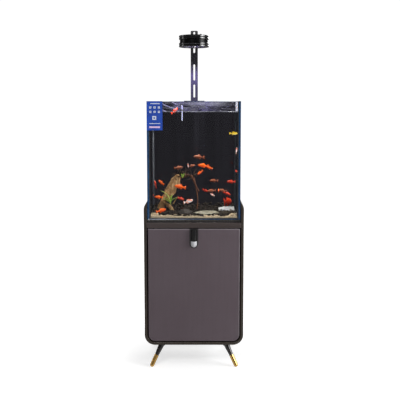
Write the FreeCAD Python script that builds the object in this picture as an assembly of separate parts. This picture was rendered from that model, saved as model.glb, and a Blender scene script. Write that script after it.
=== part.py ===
import FreeCAD, Part
import math
import os

# Aquarium on a stand: a glass tank in a hoop-shaped cabinet on four splayed legs, with a lamp on a
# slotted mast that clamps to the back glass. Millimetres. +Z is up, the door faces -Y, and the
# origin is on the floor under the middle of the object.

os.makedirs("parts", exist_ok=True)
V = FreeCAD.Vector
Z_AXIS = V(0, 0, 1)
SIDES = {"left": -1, "right": 1}
ENDS = {"front": -1, "back": 1}

# ---------------------------------------------------------------- driving dimensions

# cabinet hoop
HOOP_WALL = 12.0
HOOP_SIDE_GAP = 3.0
HOOP_LIP = 10.0
HOOP_RADIUS = 45.0
HOOP_EDGE_ROUND = 2.0
FLOOR_CLEARANCE = 101.0
SHOULDER_RISE = 53.0

# boards in the cabinet
TOP_BOARD = 23.0
BACK_PANEL = 5.0
BACK_PANEL_INSET = 5.0
CABLE_HOLE_RADIUS = 25.0
CABLE_HOLE_FROM_SIDE = 83.0
CABLE_HOLE_DROP = 60.0
BATTEN_WIDTH = 18.0
BATTEN_HEIGHT = 24.0
SHELF = 12.0
SHELF_RISE = 247.0
SHELF_SIDE_GAP = 1.0
SHELF_PIN_RADIUS = 2.5
SHELF_PIN_REACH = 8.0
SHELF_PIN_FROM_EDGE = 40.0

# door
DOOR_HEIGHT = 496.0
DOOR_THICKNESS = 18.0
DOOR_SIDE_GAP = 5.5
DOOR_FOOT_GAP = 5.0
DOOR_TOP_GAP = 4.0
DOOR_SET_BACK = 1.0
DOOR_EDGE_ROUND = 1.5
PIVOT_PAST_BEND = 3.5
PIVOT_PIN_RADIUS = 3.0
PIVOT_PIN_IN_BOARD = 12.0
PIVOT_PIN_IN_HOOP = 5.0
PIVOT_PIN_END_GAP = 1.0
BUSH_WALL = 2.0
BUSH_LENGTH = 14.0
DOOR_SWING_CLEARANCE = 5.3
RUNNING = 0.05
SEAT_GAP = 0.3

# door pull
PULL_PLATE_MARGIN = 6.0
PULL_PLATE_FOOT_MARGIN = 4.0
PULL_PLATE = 2.0
PULL_PLATE_SUNK = 1.0
PULL_TOP_DROP = 4.0
PULL_WIDTH = 26.0
PULL_BAR_HEIGHT = 48.0
PULL_CAP_HEIGHT = 27.0
PULL_PROUD = 17.0
PULL_SCREW_RADIUS = 2.0
PULL_SCREW_HEAD = 4.0
PULL_SCREW_FROM_END = 9.0
PULL_DIMPLE_RADIUS = 2.2
PULL_DIMPLE_RISE = 1.0

# magnetic catch
CATCH_FROM_BATTEN = 5.0
CATCH_WIDTH = 40.0
CATCH_DEPTH = 14.0
CATCH_HEIGHT = 12.0
CATCH_EDGE_ROUND = 1.5
STRIKE_WIDTH = 30.0
STRIKE = 1.0
STRIKE_MARGIN = 1.0

# legs
LEG_FROM_BEND = 30.0
LEG_FROM_LIP = 42.0
LEG_SPLAY_X = 44.0
LEG_SPLAY_Y = 32.0
LEG_TOP_RADIUS = 12.5
LEG_END_RADIUS = 8.6
LEG_PLATE = 3.0
LEG_PLATE_SIDE = 62.0
LEG_SOCKET_MARGIN = 2.5
LEG_SOCKET_DROP = 7.0
LEG_STUD_RADIUS = 4.0
LEG_TENON_RADIUS = 5.5
LEG_TENON = 14.0
CAP_TOP_Z = 48.0
CAP_STEP = 1.0
CAP_BALL_RADIUS = 9.2
CAP_FLAT = 1.0
PLATE_SCREW_RADIUS = 2.0
PLATE_SCREW_HEAD = 4.0
PLATE_SCREW_LENGTH = 11.0
PLATE_SCREW_FROM_EDGE = 8.0

# tank
TANK_WIDTH = 400.0
TANK_DEPTH = 300.0
TANK_HEIGHT = 516.0
GLASS = 8.0
BASE_GLASS = 10.0
MAT = 3.0
MAT_INSET = 1.0
SEAM = 5.0
SEAM_TOP_DROP = 2.0
WING_GAP = 0.5
FILM = 1.0
CARD = 0.5
CARD_WIDTH = 67.0
CARD_HEIGHT = 123.0
SAND_FRONT = 12.0
SAND_BACK = 26.0
LIMB_JOINT_SWELL = 1.02
STONE_FOOT_SHARE = 0.9
STONE_TOP_SHARE = 0.5
STONE_BELLY_HEIGHT = 0.45
STONE_SWELL = 0.12

# thermometer
GAUGE_X = -57.0
GAUGE_RADIUS = 3.0
GAUGE_LENGTH = 70.0
GAUGE_TOP_DROP = 19.0
GAUGE_STAND_OFF = 8.0
SUCKER_RADIUS = 9.0
SUCKER_RING_WALL = 1.6
SUCKER_RING_HEIGHT = 6.0

# lamp clamp
SADDLE_WIDTH = 95.0
SADDLE_PLATE = 4.0
SADDLE_LIP = 9.0
SADDLE_CORNER = 4.0
JAW_WIDTH = 36.0
JAW = 3.0
JAW_DROP = 50.0
JAW_PAD = 3.0
OUTER_JAW = 4.0
OUTER_JAW_DROP = 38.0
OUTER_JAW_OPENING = 12.0
CLAMP_SCREW_FROM_END = 15.5
CLAMP_SCREW_DROP = 20.0
CLAMP_SCREW_RADIUS = 2.95
CLAMP_TIP_RADIUS = 2.5
CLAMP_HEAD_RADIUS = 9.0
CLAMP_HEAD_GAP = 1.2
CUP_RADIUS = 8.0
CUP = 4.0
CUP_FLOOR = 1.8

# mast
MAST_WIDTH = 33.0
MAST_CHANNEL = 10.0
MAST_WALL = 2.5
MAST_HEIGHT = 318.0
MAST_TOP_ROUND = 5.0
SLOT_WIDTH = 8.0
TOP_SLOT_LENGTH = 95.0
TOP_SLOT_FROM_END = 5.0
TOP_WEB = 52.0
LOW_WEB = 19.0
LOW_SLOT_FROM_FOOT = 15.0
LOW_SLOT_SHARE = 0.447
MAST_LUG = 8.0
MAST_SCREW_ROOM = 2.8
MAST_SCREW_RADIUS = 2.0
MAST_SCREW_HEAD = 3.2
MAST_SCREW_HEAD_HEIGHT = 3.0

# lamp
LAMP_RADIUS = 67.0
LAMP_HEIGHT = 50.0
LAMP_UNDER_MAST_TOP = 33.0
LAMP_TO_MAST = 39.0
LAMP_WALL = 3.0
LAMP_BAND_HEIGHT = 15.0
LAMP_BAND_INSET = 4.0
LAMP_GROOVE = 1.6
LAMP_LENS = 3.0
LENS_SEAT = 4.0
COLLAR_RADIUS = 10.4
COLLAR_DROP = 4.0
COLLAR_BORE = 7.0
COLLAR_RIM = 1.0
BOARD_MARGIN = 6.0
BOARD = 2.0
CHIP = 1.0
CHIP_SIDE = 5.0
CHIP_RING_RADII = (22.0, 40.0)
CHIP_PITCH = 15.7
SINK_SEAT = 3.5
SINK_FIN_MARGIN = 3.0
SINK_BASE = 4.0
SINK_FINS = 9
SINK_FIN = 2.0
SINK_FIN_HEIGHT = 16.0
INLET_RADIUS = 5.0
INLET_BORE = 1.9
INLET_WAIST = 3.5
INLET_LENGTH = 11.0
INLET_OFFSET = 30.0

# lamp carriage and its knob
CARRIAGE_WIDTH = 26.0
CARRIAGE_DEPTH = 12.0
CARRIAGE_HEIGHT = 40.0
CARRIAGE_EDGE_ROUND = 3.0
ARM_WIDTH = 18.0
ARM_BAND_MARGIN = 1.5
TONGUE_HEIGHT = 22.0
STUD_RADIUS = 3.0
STUD_ENGAGE = 9.0
KNOB_RADIUS = 11.0
KNOB_BOSS_RADIUS = 7.7
KNOB_BOSS = 2.0
KNOB_LENGTH = 16.0
KNOB_LOBES = 6
KNOB_SCALLOP = 2.4

# how far a cutting shape runs past the face that it leaves by
CUT = 1.0
# lengths that count as nothing, and as just enough to keep two edges apart
TINY = 1e-4
HAIR = 0.01

# ---------------------------------------------------------------- levels worked out from them

GLASS_HALF_X = TANK_WIDTH / 2
GLASS_HALF_Y = TANK_DEPTH / 2
CAVITY_HALF_X = GLASS_HALF_X - GLASS
CAVITY_HALF_Y = GLASS_HALF_Y - GLASS
FILM_BACK = GLASS_HALF_Y + FILM

INNER_HALF = GLASS_HALF_X + HOOP_SIDE_GAP
HALF_WIDTH = INNER_HALF + HOOP_WALL
HALF_DEPTH = GLASS_HALF_Y + HOOP_LIP
INNER_RADIUS = HOOP_RADIUS - HOOP_WALL
CABINET_FLOOR = FLOOR_CLEARANCE + HOOP_WALL
DOOR_FOOT = CABINET_FLOOR + DOOR_FOOT_GAP
DOOR_TOP = DOOR_FOOT + DOOR_HEIGHT
BOARD_UNDERSIDE = DOOR_TOP + DOOR_TOP_GAP
BOARD_TOP = BOARD_UNDERSIDE + TOP_BOARD
TANK_FOOT = BOARD_TOP + MAT
RIM = TANK_FOOT + TANK_HEIGHT
SHOULDER_Z = TANK_FOOT + SHOULDER_RISE
TANK_FLOOR = TANK_FOOT + BASE_GLASS

DOOR_FRONT = -HALF_DEPTH + DOOR_SET_BACK
DOOR_BACK = DOOR_FRONT + DOOR_THICKNESS
DOOR_HALF = INNER_HALF - DOOR_SIDE_GAP
DOOR_CORNER = INNER_RADIUS - DOOR_FOOT_GAP
PIVOT_FROM_EDGE = DOOR_CORNER - PIVOT_PAST_BEND
PIVOT_X = -DOOR_HALF + PIVOT_FROM_EDGE
PIVOT_Y = (DOOR_FRONT + DOOR_BACK) / 2
BUSH_RADIUS = PIVOT_PIN_RADIUS + BUSH_WALL
CATCH_X = INNER_HALF - BATTEN_WIDTH - CATCH_FROM_BATTEN - CATCH_WIDTH / 2
CABLE_HOLE_X = INNER_HALF - CABLE_HOLE_FROM_SIDE
LEG_TOP_X = HALF_WIDTH - HOOP_RADIUS - LEG_FROM_BEND
LEG_TOP_Y = HALF_DEPTH - LEG_FROM_LIP
LEG_FOOT_X = LEG_TOP_X + LEG_SPLAY_X
LEG_FOOT_Y = LEG_TOP_Y + LEG_SPLAY_Y
LEG_SOCKET_RADIUS = LEG_TOP_RADIUS + LEG_SOCKET_MARGIN
CAP_RADIUS = LEG_END_RADIUS + CAP_STEP
CAP_BALL_Z = CAP_BALL_RADIUS - CAP_FLAT
HEEL_REACH = math.hypot(PIVOT_FROM_EDGE, DOOR_THICKNESS / 2)
INTERIOR_FRONT = PIVOT_Y + HEEL_REACH + DOOR_SWING_CLEARANCE
PANEL_FRONT = HALF_DEPTH - BACK_PANEL_INSET - BACK_PANEL

SADDLE_TOP = RIM + SADDLE_PLATE
JAW_BACK = CAVITY_HALF_Y - JAW_PAD
JAW_FRONT = JAW_BACK - JAW
CLAMP_SCREW_X = SADDLE_WIDTH / 2 - CLAMP_SCREW_FROM_END
OUTER_JAW_FRONT = FILM_BACK + OUTER_JAW_OPENING
OUTER_JAW_BACK = OUTER_JAW_FRONT + OUTER_JAW
CLAMP_SCREW_Z = RIM - CLAMP_SCREW_DROP
CUP_FRONT = FILM_BACK + SEAT_GAP
CUP_BACK = CUP_FRONT + CUP
REAR_REACH = HALF_DEPTH - DOOR_SET_BACK + PULL_PROUD

MAST_FRONT = JAW_FRONT
MAST_BACK = MAST_FRONT + MAST_CHANNEL
WEB_BACK = MAST_FRONT + MAST_WALL
MAST_TOP = SADDLE_TOP + MAST_HEIGHT
TOP_SLOT = (MAST_HEIGHT - TOP_SLOT_FROM_END - TOP_SLOT_LENGTH, MAST_HEIGHT - TOP_SLOT_FROM_END)
LOWER_SLOTS = TOP_SLOT[0] - TOP_WEB - LOW_WEB - LOW_SLOT_FROM_FOOT
LOW_SLOT = (LOW_SLOT_FROM_FOOT, LOW_SLOT_FROM_FOOT + LOW_SLOT_SHARE * LOWER_SLOTS)
MIDDLE_SLOT = (LOW_SLOT[1] + LOW_WEB, TOP_SLOT[0] - TOP_WEB)
MAST_SCREW_X = MAST_WIDTH / 2 - MAST_WALL - MAST_SCREW_HEAD - MAST_SCREW_ROOM
LAMP_TOP = MAST_TOP - LAMP_UNDER_MAST_TOP
LAMP_BOTTOM = LAMP_TOP - LAMP_HEIGHT
LAMP_RING_HEIGHT = (LAMP_HEIGHT - LAMP_BAND_HEIGHT) / 2
LAMP_Y = MAST_FRONT - LAMP_TO_MAST - LAMP_RADIUS
BAND_RADIUS = LAMP_RADIUS - LAMP_BAND_INSET
BAND_BOTTOM = LAMP_BOTTOM + LAMP_RING_HEIGHT
BAND_TOP = LAMP_TOP - LAMP_RING_HEIGHT
ARM_HEIGHT = LAMP_BAND_HEIGHT - 2 * ARM_BAND_MARGIN
CARRIAGE_Z = (BAND_BOTTOM + BAND_TOP) / 2
CARRIAGE_BACK = MAST_FRONT - SEAT_GAP
CARRIAGE_FRONT = CARRIAGE_BACK - CARRIAGE_DEPTH

# ---------------------------------------------------------------- helpers


def box(x0, x1, y0, y1, z0, z1):
    return Part.makeBox(x1 - x0, y1 - y0, z1 - z0, V(x0, y0, z0))


def rod(radius, start, end):
    """A round bar between two points."""
    run = end - start
    return Part.makeCylinder(radius, run.Length, start, run)


def taper(radius_start, radius_end, start, end):
    """A round bar that narrows or widens between two points."""
    if near(radius_start, radius_end):
        return rod(radius_start, start, end)
    run = end - start
    return Part.makeCone(radius_start, radius_end, run.Length, start, run)


def slab(outline, y0, y1):
    """A face in the XZ plane at y0, thickened to y1."""
    return Part.Face(outline).extrude(V(0, y1 - y0, 0))


def rounded_outline(half, z0, z1, foot_radius, top_radius, y):
    """A rectangle in the XZ plane with its own radius at the foot and at the top."""
    edges = []

    def line(a, b):
        if (b - a).Length > TINY:
            edges.append(Part.LineSegment(a, b).toShape())

    def corner(side, cz, radius, start):
        if radius > 0:
            centre = V(side * (half - radius), y, cz)
            points = [
                centre + V(math.cos(t), 0, math.sin(t)) * radius
                for t in (start, start + math.pi / 4, start + math.pi / 2)
            ]
            edges.append(Part.Arc(*points).toShape())

    line(V(-half + foot_radius, y, z0), V(half - foot_radius, y, z0))
    corner(1, z0 + foot_radius, foot_radius, -math.pi / 2)
    line(V(half, y, z0 + foot_radius), V(half, y, z1 - top_radius))
    corner(1, z1 - top_radius, top_radius, 0)
    line(V(half - top_radius, y, z1), V(-half + top_radius, y, z1))
    corner(-1, z1 - top_radius, top_radius, math.pi / 2)
    line(V(-half, y, z1 - top_radius), V(-half, y, z0 + foot_radius))
    corner(-1, z0 + foot_radius, foot_radius, math.pi)
    return Part.Wire(edges)


def turned(profile, x=0.0, y=0.0):
    """A solid of revolution about the vertical line at x, y. The profile is radius, height pairs."""
    points = [V(x + r, y, z) for r, z in profile]
    face = Part.Face(Part.makePolygon(points + points[:1]))
    return face.revolve(V(x, y, 0), Z_AXIS, 360)


def round_edges(shape, radius, chosen):
    """Fillets the edges whose two ends and middle all pass the test."""
    edges = []
    for edge in shape.Edges:
        middle = edge.valueAt((edge.FirstParameter + edge.LastParameter) / 2)
        if all(chosen(p) for p in [v.Point for v in edge.Vertexes] + [middle]):
            edges.append(edge)
    return shape.makeFillet(radius, edges)


def near(a, b):
    return abs(a - b) < TINY


def group(solids):
    return Part.makeCompound(solids)


def screw_along_y(x, z, head_y, tip_y, radius, head_radius):
    """A pan-head screw whose head's inner face is at head_y."""
    toward = 1 if head_y > tip_y else -1
    head_height = radius
    shank = rod(radius, V(x, tip_y, z), V(x, head_y, z))
    head = rod(head_radius, V(x, head_y, z), V(x, head_y + toward * head_height, z))
    return shank.fuse(head).removeSplitter()


NODES = {}


def node(name, shape):
    NODES[name] = shape
    shape.exportStep(f"parts/{name}.step")


# ---------------------------------------------------------------- cabinet


def shelf_pin_places():
    for side in (-1, 1):
        for y in (INTERIOR_FRONT + SHELF_PIN_FROM_EDGE, PANEL_FRONT - SHELF_PIN_FROM_EDGE):
            yield side, y


SHELF_UNDERSIDE = CABINET_FLOOR + SHELF_RISE
PIN_Z = SHELF_UNDERSIDE - SHELF_PIN_RADIUS


def shelf_pin(side, y):
    start = V(side * (INNER_HALF + SHELF_PIN_REACH), y, PIN_Z)
    end = V(side * (INNER_HALF - SHELF_PIN_REACH - SHELF_SIDE_GAP), y, PIN_Z)
    return rod(SHELF_PIN_RADIUS, start, end)


def pin_wall_height():
    """Height of the hoop's inner face under the pivot, where its corner curves up."""
    across = abs(PIVOT_X) + BUSH_RADIUS - (INNER_HALF - INNER_RADIUS)
    lift = INNER_RADIUS - math.sqrt(INNER_RADIUS**2 - max(0.0, across) ** 2)
    return CABINET_FLOOR + lift


def lower_pivot_pin():
    foot = V(PIVOT_X, PIVOT_Y, CABINET_FLOOR - PIVOT_PIN_IN_HOOP)
    collar = V(PIVOT_X, PIVOT_Y, pin_wall_height() + SEAT_GAP)
    collar_top = V(PIVOT_X, PIVOT_Y, DOOR_FOOT - SEAT_GAP)
    pin = rod(PIVOT_PIN_RADIUS, foot, collar_top + V(0, 0, BUSH_LENGTH))
    return pin.fuse(rod(BUSH_RADIUS, collar, collar_top)).removeSplitter()


def upper_pivot_pin():
    foot = V(PIVOT_X, PIVOT_Y, DOOR_TOP - BUSH_LENGTH + PIVOT_PIN_END_GAP)
    return rod(PIVOT_PIN_RADIUS, foot, V(PIVOT_X, PIVOT_Y, BOARD_UNDERSIDE + PIVOT_PIN_IN_BOARD))


def door_bush(z0, z1):
    sleeve = rod(BUSH_RADIUS, V(PIVOT_X, PIVOT_Y, z0), V(PIVOT_X, PIVOT_Y, z1))
    bore_foot = V(PIVOT_X, PIVOT_Y, z0 - CUT)
    bore_top = V(PIVOT_X, PIVOT_Y, z1 + CUT)
    return sleeve.cut(rod(PIVOT_PIN_RADIUS + RUNNING, bore_foot, bore_top))


def door_bushes():
    return [
        door_bush(DOOR_FOOT, DOOR_FOOT + BUSH_LENGTH),
        door_bush(DOOR_TOP - BUSH_LENGTH, DOOR_TOP),
    ]


def leg_points(side, end):
    """Where one leg's axis leaves the plate, where its brass cap starts, and the ball's centre."""
    top = V(side * LEG_TOP_X, end * LEG_TOP_Y, FLOOR_CLEARANCE - LEG_PLATE)
    ball = V(side * LEG_FOOT_X, end * LEG_FOOT_Y, CAP_BALL_Z)
    run = ball - top
    cap = top + run * ((CAP_TOP_Z - top.z) / run.z)
    shoulder = top + run * (-LEG_SOCKET_DROP / run.z)
    return top, shoulder, cap, ball


def plate_screw_places(side, end):
    reach = LEG_PLATE_SIDE / 2 - PLATE_SCREW_FROM_EDGE
    for dx in (-reach, reach):
        for dy in (-reach, reach):
            yield side * LEG_TOP_X + dx, end * LEG_TOP_Y + dy


def plate_screw(x, y):
    foot = FLOOR_CLEARANCE - LEG_PLATE
    head = taper(
        PLATE_SCREW_HEAD, PLATE_SCREW_RADIUS, V(x, y, foot), V(x, y, foot + PLATE_SCREW_RADIUS)
    )
    shank = rod(
        PLATE_SCREW_RADIUS,
        V(x, y, foot + PLATE_SCREW_RADIUS),
        V(x, y, foot + PLATE_SCREW_LENGTH),
    )
    return head.fuse(shank).removeSplitter()


PLATE_SCREWS = [
    plate_screw(x, y)
    for side in SIDES.values()
    for end in ENDS.values()
    for x, y in plate_screw_places(side, end)
]


def cabinet_hoop():
    """One bent band: floor, two sides, and two shoulders that curve in to the tank."""
    top = SHOULDER_Z + HOOP_RADIUS
    outer = rounded_outline(
        HALF_WIDTH, FLOOR_CLEARANCE, top, HOOP_RADIUS, HOOP_RADIUS, -HALF_DEPTH
    )
    inner = rounded_outline(
        INNER_HALF, CABINET_FLOOR, top - HOOP_WALL, INNER_RADIUS, INNER_RADIUS, -HALF_DEPTH
    )
    band = slab(outer, -HALF_DEPTH, HALF_DEPTH).cut(slab(inner, -HALF_DEPTH, HALF_DEPTH))
    mouth = GLASS_HALF_X + WING_GAP
    band = band.cut(box(-mouth, mouth, -HALF_DEPTH, HALF_DEPTH, SHOULDER_Z, top + CUT))
    band = round_edges(
        band, HOOP_EDGE_ROUND, lambda p: near(abs(p.y), HALF_DEPTH) and abs(p.x) > mouth + HAIR
    )
    holes = PLATE_SCREWS + [shelf_pin(side, y) for side, y in shelf_pin_places()]
    return band.cut(group(holes)).cut(lower_pivot_pin())


def top_board():
    board = box(-INNER_HALF, INNER_HALF, -HALF_DEPTH, HALF_DEPTH, BOARD_UNDERSIDE, BOARD_TOP)
    board = round_edges(board, DOOR_EDGE_ROUND, lambda p: near(p.y, -HALF_DEPTH))
    return board.cut(upper_pivot_pin())


def back_panel():
    outline = rounded_outline(
        INNER_HALF, CABINET_FLOOR, BOARD_UNDERSIDE, INNER_RADIUS, 0, PANEL_FRONT
    )
    hole_z = BOARD_UNDERSIDE - CABLE_HOLE_DROP
    hole = rod(
        CABLE_HOLE_RADIUS,
        V(CABLE_HOLE_X, PANEL_FRONT - CUT, hole_z),
        V(CABLE_HOLE_X, PANEL_FRONT + BACK_PANEL + CUT, hole_z),
    )
    return slab(outline, PANEL_FRONT, PANEL_FRONT + BACK_PANEL).cut(hole)


def side_batten(side):
    x0, x1 = sorted((side * INNER_HALF, side * (INNER_HALF - BATTEN_WIDTH)))
    return box(
        x0, x1, INTERIOR_FRONT, PANEL_FRONT, BOARD_UNDERSIDE - BATTEN_HEIGHT, BOARD_UNDERSIDE
    )


def shelf():
    half = INNER_HALF - SHELF_SIDE_GAP
    back = PANEL_FRONT - SHELF_SIDE_GAP
    board = box(-half, half, INTERIOR_FRONT, back, SHELF_UNDERSIDE, SHELF_UNDERSIDE + SHELF)
    return round_edges(board, DOOR_EDGE_ROUND, lambda p: near(p.y, INTERIOR_FRONT))


node("cabinet_hoop", cabinet_hoop())
node("top_board", top_board())
node("back_panel", back_panel())
node("side_battens", group([side_batten(side) for side in SIDES.values()]))
node("shelf", shelf())
node("shelf_pins", group([shelf_pin(side, y) for side, y in shelf_pin_places()]))
node("door_pivot_pins", group([lower_pivot_pin(), upper_pivot_pin()]))

# ---------------------------------------------------------------- legs


def leg_plate(side, end):
    """A square plate with a slanted socket for the leg's stud."""
    top, shoulder, _, _ = leg_points(side, end)
    half = LEG_PLATE_SIDE / 2
    plate = box(
        top.x - half, top.x + half, top.y - half, top.y + half, top.z, FLOOR_CLEARANCE
    )

    def at_corner(p):
        return near(abs(p.x - top.x), half) and near(abs(p.y - top.y), half)

    plate = round_edges(plate, PLATE_SCREW_HEAD, at_corner)
    run = shoulder - top
    socket = rod(LEG_SOCKET_RADIUS, top - run, shoulder)
    above = box(
        top.x - LEG_PLATE_SIDE, top.x + LEG_PLATE_SIDE,
        top.y - LEG_PLATE_SIDE, top.y + LEG_PLATE_SIDE,
        FLOOR_CLEARANCE, FLOOR_CLEARANCE + LEG_PLATE_SIDE,
    )
    plate = plate.fuse(socket).removeSplitter().cut(above)
    bore = rod(LEG_STUD_RADIUS, top, shoulder + run)
    return plate.cut(bore).cut(group(PLATE_SCREWS))


def leg(side, end):
    """A tapered turning with a stud at its top and a tenon at its end."""
    top, shoulder, cap, ball = leg_points(side, end)
    body = taper(LEG_TOP_RADIUS, LEG_END_RADIUS, shoulder, cap)
    stud = rod(LEG_STUD_RADIUS, top, shoulder)
    along = (ball - cap).normalize()
    tenon = rod(LEG_TENON_RADIUS, cap, cap + along * LEG_TENON)
    return body.fuse([stud, tenon]).removeSplitter()


def foot_cap(side, end):
    """A brass sleeve with a ball end, dressed flat where it meets the floor."""
    _, _, cap, ball = leg_points(side, end)
    along = (ball - cap).normalize()
    sleeve = taper(CAP_RADIUS, CAP_BALL_RADIUS, cap, ball)
    shape = sleeve.fuse(Part.makeSphere(CAP_BALL_RADIUS, ball)).removeSplitter()
    reach = 3 * CAP_BALL_RADIUS
    below = box(ball.x - reach, ball.x + reach, ball.y - reach, ball.y + reach, -reach, 0)
    socket = rod(LEG_TENON_RADIUS, cap - along, cap + along * LEG_TENON)
    return shape.cut(below).cut(socket)


node("leg_plates", group([leg_plate(s, e) for s in SIDES.values() for e in ENDS.values()]))
node("leg_plate_screws", group(PLATE_SCREWS))
for end_name, end in ENDS.items():
    for side_name, side in SIDES.items():
        node(f"leg_{end_name}_{side_name}", leg(side, end))
        node(f"foot_cap_{end_name}_{side_name}", foot_cap(side, end))

# ---------------------------------------------------------------- door, pull and catch

PULL_TOP = DOOR_TOP - PULL_TOP_DROP
PULL_FOOT = PULL_TOP - PULL_BAR_HEIGHT
PLATE_FRONT = DOOR_FRONT + PULL_PLATE_SUNK
PLATE_BACK = PLATE_FRONT + PULL_PLATE
PULL_SCREW_Z = (PULL_FOOT + PULL_SCREW_FROM_END, PULL_TOP - PULL_SCREW_FROM_END)
PULL_PLATE_HALF = PULL_WIDTH / 2 + PULL_PLATE_MARGIN
PULL_PLATE_FOOT = PULL_FOOT - PULL_CAP_HEIGHT - PULL_PLATE_FOOT_MARGIN


def pull_outline(half, foot, top, y):
    """A tongue with a square top and a half-round foot."""
    return rounded_outline(half, foot, top, half - HAIR, 0, y)


def pull_screw(z):
    reach = DOOR_FRONT - PULL_PROUD / 2
    return screw_along_y(0, z, DOOR_BACK, reach, PULL_SCREW_RADIUS, PULL_SCREW_HEAD)


def door():
    outline = rounded_outline(DOOR_HALF, DOOR_FOOT, DOOR_TOP, DOOR_CORNER, 0, DOOR_FRONT)
    panel = slab(outline, DOOR_FRONT, DOOR_BACK)
    panel = round_edges(panel, DOOR_EDGE_ROUND, lambda p: near(p.y, DOOR_FRONT))
    pocket = slab(
        pull_outline(PULL_PLATE_HALF, PULL_PLATE_FOOT, DOOR_TOP + CUT, DOOR_FRONT - CUT),
        DOOR_FRONT - CUT,
        PLATE_BACK,
    )
    panel = panel.cut(pocket).cut(group([pull_screw(z) for z in PULL_SCREW_Z]))
    for bush in door_bushes():
        z0, z1 = bush.BoundBox.ZMin, bush.BoundBox.ZMax
        seat_top = DOOR_TOP + CUT if near(z1, DOOR_TOP) else z1
        seat_foot = z0 if near(z1, DOOR_TOP) else z0 - BUSH_RADIUS
        panel = panel.cut(
            rod(BUSH_RADIUS, V(PIVOT_X, PIVOT_Y, seat_foot), V(PIVOT_X, PIVOT_Y, seat_top))
        )
    return panel


def pull_plate():
    outline = pull_outline(PULL_PLATE_HALF, PULL_PLATE_FOOT, DOOR_TOP, PLATE_FRONT)
    return slab(outline, PLATE_FRONT, PLATE_BACK).cut(group([pull_screw(z) for z in PULL_SCREW_Z]))


def pull_bar():
    """A half-round bar that stands proud of the door."""
    radius = PULL_WIDTH / 2
    crown = DOOR_FRONT - PULL_PROUD + radius
    bar = rod(radius, V(0, crown, PULL_FOOT), V(0, crown, PULL_TOP))
    bar = bar.common(box(-radius, radius, crown - radius, crown, PULL_FOOT, PULL_TOP))
    neck = box(-radius, radius, crown, PLATE_FRONT, PULL_FOOT, PULL_TOP)
    bar = bar.fuse(neck).removeSplitter()
    return bar.cut(group([pull_screw(z) for z in PULL_SCREW_Z]))


def pull_cap():
    """The rounded metal end of the pull, with a small dimple."""
    radius = PULL_WIDTH / 2
    crown = DOOR_FRONT - PULL_PROUD + radius
    ball_z = PULL_FOOT - PULL_CAP_HEIGHT + radius
    column = rod(radius, V(0, crown, ball_z), V(0, crown, PULL_FOOT))
    column = column.fuse(Part.makeSphere(radius, V(0, crown, ball_z))).removeSplitter()
    column = column.common(
        box(-radius, radius, crown - radius, crown, ball_z - radius, PULL_FOOT)
    )
    outline = pull_outline(radius, PULL_FOOT - PULL_CAP_HEIGHT, PULL_FOOT, crown)
    neck = slab(outline, crown, PLATE_FRONT)
    cap = column.fuse(neck).removeSplitter()
    dimple = Part.makeSphere(PULL_DIMPLE_RADIUS, V(0, crown - radius, ball_z + PULL_DIMPLE_RISE))
    return cap.cut(dimple)


def catch_body():
    front = DOOR_BACK + STRIKE + SEAT_GAP
    block = box(
        CATCH_X - CATCH_WIDTH / 2, CATCH_X + CATCH_WIDTH / 2,
        front, front + CATCH_DEPTH,
        BOARD_UNDERSIDE - CATCH_HEIGHT, BOARD_UNDERSIDE,
    )
    return round_edges(
        block, CATCH_EDGE_ROUND, lambda p: near(p.z, BOARD_UNDERSIDE - CATCH_HEIGHT)
    )


def catch_strike():
    mid = BOARD_UNDERSIDE - DOOR_TOP_GAP - CATCH_HEIGHT / 2
    half_height = CATCH_HEIGHT / 2 - STRIKE_MARGIN
    return box(
        CATCH_X - STRIKE_WIDTH / 2, CATCH_X + STRIKE_WIDTH / 2,
        DOOR_BACK, DOOR_BACK + STRIKE,
        mid - half_height, mid + half_height,
    )


node("door", door())
node("door_bushes", group(door_bushes()))
node("pull_plate", pull_plate())
node("pull_bar", pull_bar())
node("pull_cap", pull_cap())
node("pull_screws", group([pull_screw(z) for z in PULL_SCREW_Z]))
node("catch_body", catch_body())
node("catch_strike", catch_strike())

# ---------------------------------------------------------------- tank


def tank_cavity(z1):
    """The room inside the glass, with the silicone's chamfer along every inner corner but the rim."""
    room = box(
        -CAVITY_HALF_X, CAVITY_HALF_X, -CAVITY_HALF_Y, CAVITY_HALF_Y, TANK_FLOOR, z1
    )
    edges = [
        edge
        for edge in room.Edges
        if all(near(v.Z, TANK_FLOOR) for v in edge.Vertexes)
        or not near(edge.Vertexes[0].Z, edge.Vertexes[1].Z)
    ]
    return room, room.makeChamfer(SEAM, edges)


def silicone_seams():
    room, inner = tank_cavity(RIM - SEAM_TOP_DROP)
    return room.cut(inner)


def tank_pane(x0, x1, y0, y1):
    return box(x0, x1, y0, y1, TANK_FLOOR, RIM)


def label_card():
    return box(
        -GLASS_HALF_X + CARD, -GLASS_HALF_X + CARD + CARD_WIDTH,
        -GLASS_HALF_Y - CARD, -GLASS_HALF_Y,
        RIM - CARD_HEIGHT - CARD, RIM - CARD,
    )


HX, HY = GLASS_HALF_X, GLASS_HALF_Y
MAT_X, MAT_Y = GLASS_HALF_X - MAT_INSET, GLASS_HALF_Y - MAT_INSET
node("tank_mat", box(-MAT_X, MAT_X, -MAT_Y, MAT_Y, BOARD_TOP, TANK_FOOT))
node("tank_base_glass", box(-HX, HX, -HY, HY, TANK_FOOT, TANK_FLOOR))
node("tank_front_glass", tank_pane(-HX, HX, -HY, -CAVITY_HALF_Y))
node("tank_back_glass", tank_pane(-HX, HX, CAVITY_HALF_Y, HY))
node("tank_left_glass", tank_pane(-HX, -CAVITY_HALF_X, -CAVITY_HALF_Y, CAVITY_HALF_Y))
node("tank_right_glass", tank_pane(CAVITY_HALF_X, HX, -CAVITY_HALF_Y, CAVITY_HALF_Y))
node("silicone_seams", silicone_seams())
node("background_film", box(-HX, HX, HY, FILM_BACK, TANK_FOOT, RIM))
node("label_card", label_card())

# ---------------------------------------------------------------- scape in the tank


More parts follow.
